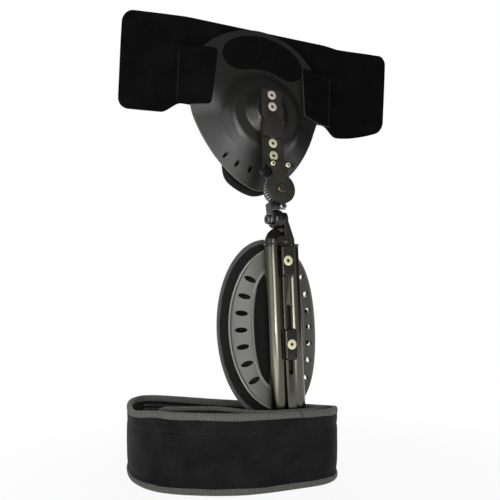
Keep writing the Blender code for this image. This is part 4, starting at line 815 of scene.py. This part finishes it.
pad = inflate(roundedPad("thigh_liner_pad", 72, 40, thighPadPoint), 0.0030, 0.0010)
for point in pad.data.vertices:  # the shell stops the swell in front
    out = Vector((point.co.x, point.co.y - cuff["axis"], 0))
    if out.length > thighPad["outer"]:
        point.co -= out.normalized() * (out.length - thighPad["outer"])
finishPiece(pad, thighPlace, "thigh_cuff", linerMesh, "thigh_liner", smooth=180)


def pipingPoint(station, share):
    angle, turn = 2 * math.pi * station, 2 * math.pi * share
    inner = math.remainder(turn - math.pi, 2 * math.pi) / thighPad["creaseWidth"]
    size = thighPad["piping"] * (1 - thighPad["crease"] * math.exp(-inner ** 2))
    reach = thighPad["reach"] + size * math.cos(turn)
    arc, z = oval(angle, thighPad["halfWidth"] + reach, thighPad["halfHeight"] + reach)
    deep = thighPad["middle"] + thighPad["pipingTall"] * size * math.sin(turn)
    return onThigh(arc, z, deep, thighPad["turn"])


piping = hoop("liner_binding", 220, 24, pipingPoint)
finishPiece(piping, thighPlace, "thigh_cuff", linerTape, "liner_piping", smooth=180)

hookPad = {"from": 0.0340, "to": 0.0460, "halfHeight": 0.0180, "outer": 0.0845, "thick": 0.0015}
for name, side in sides:
    def hookPoint(across, along, side=side):
        arc = side * (hookPad["from"] + (hookPad["to"] - hookPad["from"]) * across)
        return onThigh(arc, hookPad["halfHeight"] * (2 * along - 1), hookPad["outer"])

    strip = skin(name + "_hook_strip", 8, 20, hookPoint, hookPad["thick"], 0.0004, 2, 35)
    finishPiece(strip, thighPlace, "thigh_cuff", patchHooks, name + "_hook_pad")

band = {"height": 0.0715, "wall": 0.0044, "binding": 0.0075, "bindingWall": 0.0058, "upperSeam": 0.0545,
        "lowerSeam": 0.0105, "seamWidth": 0.0016, "slack": 0.0005, "rise": 0.0068, "strapThick": 0.0028,
        "strapCorner": 0.0160, "strapFrom": 1.3, "strapTo": 5.6, "strapStand": 0.0240, "strapTop": 0.0012,
        "strapGap": 0.0003, "strapPiping": 0.0021, "strapLeave": (2.4, 3.7), "strapBack": 0.6,
        "riseStart": (-1.6, 4.2), "riseEnd": (4.9, 6.4), "full": 1.22, "pinch": 0.42, "taper": 0.25,
        "bindingPower": 2.5}
bandPlan = [Vector(spot) for spot in (
    (0.057, -0.004), (0.036, -0.0216), (0.0, -0.0230), (-0.052, -0.0176), (-0.094, 0.003), (-0.123, 0.031),
    (-0.132, 0.068), (-0.124, 0.110), (-0.107, 0.142), (-0.082, 0.145), (-0.030, 0.090), (0.022, 0.0405),
    (0.051, 0.014))]


def planPoint(place):
    # a smooth closed curve through the plan, the way inwards and the way along
    span, share, count = math.floor(place), place - math.floor(place), len(bandPlan)
    a, b, c, d = (bandPlan[(span + offset) % count] for offset in (-1, 0, 1, 2))
    first, second, third = c - a, 2 * a - 5 * b + 4 * c - d, 3 * b - 3 * c + d - a
    point = b + 0.5 * (first * share + second * share ** 2 + third * share ** 3)
    slope = (first + 2 * second * share + 3 * third * share ** 2).normalized()
    return Vector((point.x, point.y, 0)), Vector((slope.y, -slope.x, 0)), Vector((slope.x, slope.y, 0))


def onBand(place, inward, z):
    # the near wall's rim stands higher than the rest
    point, inside, _ = planPoint(place)
    near = place - len(bandPlan) if place > len(bandPlan) / 2 else place
    up, down = smoothStep(*band["riseStart"], near), 1 - smoothStep(*band["riseEnd"], near)
    tall = 1 + band["rise"] / band["height"] * up * down
    return point + inside * inward + Vector((0, 0, z * tall))


# heights of the wall's rings, close together at the seams
wallLevels = [0.003, 0.007, 0.0092, 0.0101, 0.0105, 0.0109, 0.012, 0.017, 0.025, 0.034, 0.043, 0.049, 0.0525,
              0.0538, 0.0545, 0.0552, 0.0565, 0.0605, 0.0645, 0.0685]


def wallPoint(station, share):
    index = round(share * 2 * len(wallLevels))
    outside = index < len(wallLevels)
    z = wallLevels[index] if outside else wallLevels[2 * len(wallLevels) - 1 - index]
    pinch = sum(math.exp(-((z - band[seam]) / band["seamWidth"]) ** 2) for seam in ("upperSeam", "lowerSeam"))
    swell = band["full"] - band["pinch"] * pinch - band["taper"] * abs(z / band["height"] - 0.5)
    place = station * len(bandPlan)
    slack = band["slack"] * noise.noise(Vector((place * 1.7, z * 40, 3.0)))
    return onBand(place, (-1 if outside else 1) * band["wall"] / 2 * swell + slack, z)


wall = hoop("thigh_band_wall", 260, 2 * len(wallLevels), wallPoint)
finishPiece(wall, bandPlace, "thigh_cuff", bandCloth, "thigh_band", smooth=180)
upperMiddle = band["height"] - band["binding"] / 2
for level, middle in (("lower", band["binding"] / 2), ("upper", upperMiddle)):
    def bindingPoint(station, share, middle=middle):
        inward, up = oval(2 * math.pi * share, band["bindingWall"] / 2, band["binding"] / 2,
                          band["bindingPower"])
        return onBand(station * len(bandPlan), inward, middle + up)

    binding = hoop(level + "_band_piping", 300, 20, bindingPoint)
    finishPiece(binding, bandPlace, "thigh_cuff", bindingTape, "band_" + level + "_binding", smooth=180)

strapSteps = 240
strapRun = [(0.0, band["strapTo"])]  # distance from the strap's free end, and the place on the plan
for step in range(1, strapSteps + 1):
    place = band["strapTo"] + (band["strapFrom"] - band["strapTo"]) * step / strapSteps
    distance, before = strapRun[-1]
    strapRun.append((distance + (planPoint(place)[0] - planPoint(before)[0]).length, place))
strapLength = strapRun[-1][0]
strapLow, strapHigh = band["binding"], band["height"] - band["strapTop"]


def strapPlace(distance):
    for (start, first), (end, last) in zip(strapRun, strapRun[1:]):
        if distance <= end:
            return first + (last - first) * (distance - start) / (end - start)
    return strapRun[-1][1]


def strapInward(place):
    # the strap lies on the near wall and leaves it past the foot of the upright
    leave, clear = band["strapLeave"]
    back = 1 - band["strapBack"] * smoothStep(clear, band["strapTo"], place)
    stand = band["strapStand"] * smoothStep(leave, clear, place) * back
    return band["bindingWall"] / 2 + band["strapGap"] + stand


def strapPoint(across, along):
    distance = strapLength * across ** 1.5
    trim = cornerTrim(band["strapCorner"], distance)
    place = strapPlace(distance)
    return onBand(place, strapInward(place), strapLow + trim + (strapHigh - strapLow - 2 * trim) * along)


strap = skin("strap_end_web", 90, 16, strapPoint, band["strapThick"], 0.0006)
finishPiece(strap, bandPlace, "thigh_cuff", bandCloth, "band_strap_end", smooth=50)


def strapEdge(share):
    # the strap's upper edge, its round corner and its free end, as a distance from that end and a height
    corner = band["strapCorner"]
    straight, bend = strapLength - corner, corner * math.pi / 2
    side = strapHigh - strapLow - 2 * corner
    run = share * (straight + 2 * bend + side)
    if run < straight:
        return strapLength - run, strapHigh
    if run < straight + bend:
        angle = (run - straight) / corner
        return corner * (1 - math.sin(angle)), strapHigh - corner * (1 - math.cos(angle))
    if run < straight + bend + side:
        return 0.0, strapHigh - corner - (run - straight - bend)
    angle = (run - straight - bend - side) / corner
    return corner * (1 - math.cos(angle)), strapLow + corner * (1 - math.sin(angle))


def strapPipe(across, along):
    distance, z = strapEdge(0.001 + 0.998 * along)
    nextDistance, nextZ = strapEdge(0.002 + 0.998 * along)
    slope = Vector((nextDistance - distance, nextZ - z)).normalized()
    size = band["strapPiping"] * min(1.0, 40 * along, 40 * (1 - along)) ** 0.5  # its ends close
    turn = 2 * math.pi * across
    offset = size * math.cos(turn)
    place = strapPlace(max(distance - slope.y * offset, 0.0))
    inward = strapInward(place) + band["strapThick"] / 2 + size * math.sin(turn)
    return onBand(place, inward, z + slope.x * offset)


edging = shapedGrid("strap_end_piping", 14, 260, strapPipe)
finishPiece(edging, bandPlace, "thigh_cuff", bindingTape, smooth=180)

sewing = {"seam": 150, "sunk": 0.78, "rows": (0.0610, 0.0570, 0.0530), "zigzag": 96, "from": 8.6,
          "span": 3.2, "slant": 0.9, "proud": 1.2}
spots = []
for step in range(sewing["seam"]):
    place = step / sewing["seam"] * len(bandPlan)
    _, inside, along = planPoint(place)
    spots.append((onBand(place, -band["wall"] / 2 * sewing["sunk"], band["upperSeam"]), along, -inside))
stitchRow("band_stitches", spots, (0.0018, 0.0006, 0.0005), bandPlace, "thigh_cuff", seamThread)

spots = []
for row, z in enumerate(sewing["rows"]):
    for step in range(sewing["zigzag"]):  # on the inside of the far wall
        place = sewing["from"] + sewing["span"] * step / sewing["zigzag"]
        _, inside, along = planPoint(place)
        slant = Vector((0, 0, sewing["slant"] if (step + row) % 2 else -sewing["slant"]))
        spots.append((onBand(place, band["wall"] / 2 * sewing["proud"], z), along + slant, inside))
stitchRow("far_wall_stitches", spots, (0.0030, 0.0007, 0.0008), bandPlace, "thigh_cuff", zigzagThread)


lap = {"from": 1.86, "slant": 0.09, "width": 0.022, "gap": 0.00025, "thick": 0.0004}


def lapPoint(across, along):
    # the binding's lapped end, a slanting fold over its top
    inward, up = oval(math.pi * (1.25 - along), band["bindingWall"] / 2 + lap["gap"],
                      band["binding"] / 2 + lap["gap"], band["bindingPower"])
    place = lap["from"] + lap["slant"] * along + lap["width"] * across
    return onBand(place, inward, upperMiddle + up)


fold = shapedGrid("binding_lap", 4, 24, lapPoint)
modify(fold, "SOLIDIFY", thickness=lap["thick"], offset=0.0)
finishPiece(fold, bandPlace, "thigh_cuff", seamThread, smooth=60)

print("wings")
wings = {"left": -0.1505, "right": 0.1810, "top": 0.1880, "step": 0.0990, "lobe": 0.0885, "rise": 0.0100,
         "corner": 0.0110, "lobeAcross": 0.1040, "stepAcross": 0.0870, "stepRound": 0.0020, "shift": 0.0055,
         "fold": 0.0850, "sweep": 0.14, "thick": 0.0050, "gap": 0.0003, "limpAcross": 0.1400, "limp": 0.0016}


def wingDepth(x, z):
    sweep = wings["sweep"] * max(abs(x) - wings["fold"], 0.0)
    flat = pelvic["rimDepth"] + pelvic["wall"] + wings["gap"]
    return flat - pelvic["slope"] * (z - pelvic["foldRise"]) + sweep


def wingEdges(x):
    # lower and upper edge of the wings at a place across them
    out = x - wings["shift"] if x > 0 else -x  # the right wing steps down further out
    low = wings["step"] + (wings["lobe"] - wings["step"]) * smoothStep(
        wings["stepAcross"] - wings["stepRound"], wings["lobeAcross"] + wings["stepRound"], out)
    high = wings["top"]
    if x > wings["lobeAcross"]:
        past = (x - wings["lobeAcross"]) / (wings["right"] - wings["lobeAcross"])
        low += 2 * wings["rise"] * past ** 1.7
        high += wings["rise"] * past
    trim = cornerTrim(wings["corner"], min(x - wings["left"], wings["right"] - x))
    return low + trim, high - trim


def wingPoint(across, along):
    share = across - 0.9 * math.sin(2 * math.pi * across) / (2 * math.pi)  # columns crowd to the corners
    x = wings["left"] + (wings["right"] - wings["left"]) * share
    low, high = wingEdges(x)
    z = low + (high - low) * along
    limp = smoothStep(wings["fold"], wings["limpAcross"], abs(x)) * wings["limp"]
    return x, wingDepth(x, z) + limp * (0.4 + noise.noise(Vector((x * 22, z * 16, 1.0)))), z


foam = skin("wing_foam", 170, 44, wingPoint, wings["thick"], 0.0018, 4, 55)
finishPiece(foam, dialPlace, "pelvic_half", wingCloth, "wing_band", smooth=60)

tabs = {"outer": 0.0960, "inner": 0.0520, "bottom": 0.0965, "top": 0.1530, "corner": 0.0040, "thick": 0.0030,
        "lift": 0.0008, "lean": 0.0070, "leftRise": 0.0045, "seam": 0.0925, "seamEnd": 0.0040, "stitches": 16,
        "stitchLift": 0.0001}


def tabDepth(x, z):
    past = max(math.hypot(x, z - pelvic["domeRise"]) - eggReach(math.atan2(z - pelvic["domeRise"], x)), 0.0)
    drop = min(past / (tabs["outer"] - wings["fold"]), 1.0) * pelvic["wall"]
    return min(domeDepth(x, z) + drop, wingDepth(x, z)) - tabs["lift"]


for name, side in sides:
    def tabPoint(across, along, side=side):
        left = side < 0  # its free edge leans and its top is higher
        inner = tabs["inner"] + (tabs["lean"] * (1 - along) if left else 0.0)
        place = tabs["outer"] + (inner - tabs["outer"]) * (1 - (1 - across) ** 1.2)
        trim = cornerTrim(tabs["corner"], place - inner)
        top = tabs["top"] + (tabs["leftRise"] if left else 0.0)
        x, z = side * place, tabs["bottom"] + trim + (top - tabs["bottom"] - 2 * trim) * along
        return x, tabDepth(x, z) - tabs["thick"], z

    tab = skin(name + "_tab_foam", 40, 44, tabPoint, tabs["thick"], 0.0003)
    finishPiece(tab, dialPlace, "pelvic_half", [wingCloth, tabEdgeHighlight], name + "_wing_tab", smooth=60)
    # the right tab's side faces get the painted highlight
    paintFaces(tab, dialPlace, lambda at, facing: side > 0 and abs(facing.y) < 0.45)
    spots = []
    seamLength = tabs["top"] - tabs["bottom"] - 2 * tabs["seamEnd"]
    for step in range(tabs["stitches"] + 1):
        x, z = side * tabs["seam"], tabs["bottom"] + tabs["seamEnd"] + seamLength * step / tabs["stitches"]
        spots.append(((x, tabDepth(x, z) - tabs["thick"] - tabs["stitchLift"], z), (0, 0, 1), (0, -1, 0)))
    stitchRow(name + "_tab_stitches", spots, (0.0026, 0.0007, 0.0009), dialPlace, "pelvic_half", blackThread)

patch = {"inner": 0.0520, "edge": 0.0075, "thick": 0.0012, "spread": math.radians(40.5),
         "turn": math.radians(3.5), "gap": 0.0003}


def patchPoint(across, along):
    share = math.sin((across - 0.5) * math.pi * 0.985)
    angle = math.pi / 2 - patch["turn"] - patch["spread"] * share
    inner, outer = patch["inner"], eggReach(angle) - patch["edge"]
    reach = (inner + outer) / 2 + (outer - inner) * (along - 0.5) * math.sqrt(max(1 - abs(share) ** 5, 0.02))
    x, z = onEgg(reach, angle)
    return x, domeDepth(x, z) - patch["gap"] - patch["thick"], z


hooks = skin("hook_tape_patch", 72, 20, patchPoint, patch["thick"], 0.0004)
finishPiece(hooks, dialPlace, "pelvic_half", patchHooks, "hook_patch", smooth=60)

pelvicPad = {"margin": 0.0004, "halfWidth": 0.0350, "square": 14, "thick": 0.0100, "dish": 0.0030,
             "behind": 0.0086, "roll": 0.0030, "swell": 0.0008}


def padReach(angle, grow):
    foot = eggReach(angle, pelvicPad["margin"]) + grow
    side = (pelvicPad["halfWidth"] + grow) / max(abs(math.cos(angle)), 0.001)
    return (foot ** -pelvicPad["square"] + side ** -pelvicPad["square"]) ** (-1 / pelvicPad["square"])


def pelvicPadPoint(angle, share, side):
    x, z = onEgg(padReach(angle, -pelvicPad["swell"]) * share, angle)
    thick = pelvicPad["thick"] - (pelvicPad["dish"] * (1 - share ** 2) if side > 0 else 0.0)
    return x, rimDepth(z) + pelvicPad["behind"] + thick * (0.5 + 0.46 * side), z


pad = inflate(roundedPad("pelvic_liner_pad", 80, 40, pelvicPadPoint), 0.0035, 0.0008)
finishPiece(pad, dialPlace, "pelvic_half", linerMesh, "pelvic_liner", smooth=180)


def rollPoint(station, share):
    angle, turn = 2 * math.pi * station, 2 * math.pi * share
    x, z = onEgg(padReach(angle, pelvicPad["roll"] * (math.cos(turn) - 0.75)), angle)
    middle = rimDepth(z) + pelvicPad["behind"] + pelvicPad["thick"] * 0.5
    return x, middle + 1.7 * pelvicPad["roll"] * math.sin(turn), z


roll = hoop("pelvic_liner_roll", 240, 18, rollPoint)
finishPiece(roll, dialPlace, "pelvic_half", bandCloth, smooth=180)

print("kept solids")
for material, nodes in (
        (brightSteel, ("left_guide_rod", "right_guide_rod", "pivot_washer", "hinge_nut", "lower_arm_nut",
                       "upper_arm_nut", "lower_plate_nut", "upper_plate_nut", "lower_shell_screw",
                       "upper_shell_screw")),
        (blackNylon, ("slide_bar", "lower_arm_spacer", "upper_arm_spacer", "upright_end_plug")),
        (bronzeSteel, ("hinge_bush",)),
        (coverPaint, ("cover_spacer",))):
    for node in nodes:
        mesh = frame["nodes"][node].data
        mesh.materials.clear()
        mesh.materials.append(material)

print("studio")
camera = bpy.data.objects.new("camera", bpy.data.cameras.new("camera"))
bpy.context.scene.collection.objects.link(camera)
camera.location = (-0.40626, -0.66704, 0.2328)
camera.rotation_euler = (math.pi / 2, 0, math.radians(-28))
camera.data.lens, camera.data.sensor_width = 57.6, 36.0
bpy.context.scene.camera = camera

clearPick()
bpy.ops.mesh.primitive_plane_add(size=6, location=(0, 0, -0.0004))
floor = named("floor")
paper, shader = newMaterial("white paper sweep", {"Base Color": linear("#ffffff"), "Roughness": 0.9,
                                                  "Specular IOR Level": 0.1})
# to the eye most of the white is the paper's own, so shadows stay faint
ray = addNode(paper, "ShaderNodeLightPath")
mirror = addNode(paper, "ShaderNodeMath", {"operation": "MAXIMUM"},
                 {0: (ray, "Is Glossy Ray"), 1: (ray, "Is Transmission Ray")})
seen = addNode(paper, "ShaderNodeMath", {"operation": "MAXIMUM"}, {0: (ray, "Is Camera Ray"), 1: (mirror, 0)})
spot = addNode(paper, "ShaderNodeTexCoord")
far = addNode(paper, "ShaderNodeVectorMath", {"operation": "LENGTH"}, {0: (spot, "Object")})
own = addNode(paper, "ShaderNodeMapRange", {"interpolation_type": "SMOOTHSTEP", "From Min": 0.15,
                                            "From Max": 0.45, "To Min": 0.9, "To Max": 1.0},
              {"Value": (far, "Value")})
most = addNode(paper, "ShaderNodeMath", {"operation": "MULTIPLY"}, {0: (seen, 0), 1: (own, "Result")})
glow = addNode(paper, "ShaderNodeEmission", {"Strength": 1.0})
both = addNode(paper, "ShaderNodeMixShader", None, {0: (most, 0), 1: (shader, 0), 2: (glow, 0)})
feed(paper, paper.node_tree.nodes["Material Output"], "Surface", both, 0)
floor.data.materials.append(paper)


def softLamp(name, place, aim, width, height, power):
    lamp = bpy.data.lights.new(name, "AREA")
    lamp.shape, lamp.size, lamp.size_y, lamp.energy = "RECTANGLE", width, height, power
    holder = bpy.data.objects.new(name, lamp)
    holder.location = place
    holder.rotation_euler = (Vector(aim) - Vector(place)).to_track_quat("-Z", "Y").to_euler()
    bpy.context.scene.collection.objects.link(holder)


softLamp("left window", (-1.40, -0.50, 0.50), (0, 0.05, 0.28), 1.2, 1.3, 6.0)
softLamp("front box", (-0.47, -1.18, 0.38), (0, 0.02, 0.26), 0.55, 1.2, 12.0)
softLamp("bulb", (-0.65, -1.07, 0.26), (0, 0, 0.26), 0.15, 0.15, 2.0)
softLamp("back fill", (0.60, 1.80, 0.90), (0, 0.1, 0.3), 1.0, 1.2, 14.0)
softLamp("floor card", (-0.70, -0.44, 0.004), (-0.70, -0.44, 1.0), 1.0, 0.6, 6.2)

world = bpy.data.worlds.new("studio")
bpy.context.scene.world = world
world.use_nodes = True
backdrop = world.node_tree.nodes["Background"]
ray = addNode(world, "ShaderNodeLightPath")
mirror = addNode(world, "ShaderNodeMath", {"operation": "MAXIMUM"},
                 {0: (ray, "Is Glossy Ray"), 1: (ray, "Is Transmission Ray")})
toward = addNode(world, "ShaderNodeTexCoord")
split = addNode(world, "ShaderNodeSeparateXYZ", None, {0: (toward, "Generated")})
aside, above = (addNode(world, "ShaderNodeMapRange",
                        {"interpolation_type": "SMOOTHSTEP", "From Min": start, "From Max": end,
                         "To Min": low, "To Max": high}, {"Value": (split, way)})
                for way, start, end, low, high in (
                    ("X", 0.95, 0.55, 0.06, 0.58), ("Z", 0.2, 0.75, 1.0, 0.15)))  # dark to the right and above
walls = addNode(world, "ShaderNodeMath", {"operation": "MULTIPLY"},
                {0: (aside, "Result"), 1: (above, "Result")})
shown = addNode(world, "ShaderNodeMath", {"operation": "MULTIPLY"}, {0: (mirror, 0), 1: (walls, 0)})
seen = addNode(world, "ShaderNodeMath", {"operation": "MAXIMUM"}, {0: (ray, "Is Camera Ray"), 1: (shown, 0)})
fill = addNode(world, "ShaderNodeMapRange", {"To Min": 0.22, "To Max": 0.0}, {"Value": (mirror, 0)})
level = addNode(world, "ShaderNodeMath", {"operation": "MAXIMUM"}, {0: (seen, 0), 1: (fill, "Result")})
feed(world, backdrop, "Strength", level, 0)
backdrop.inputs["Color"].default_value = (1, 1, 1, 1)
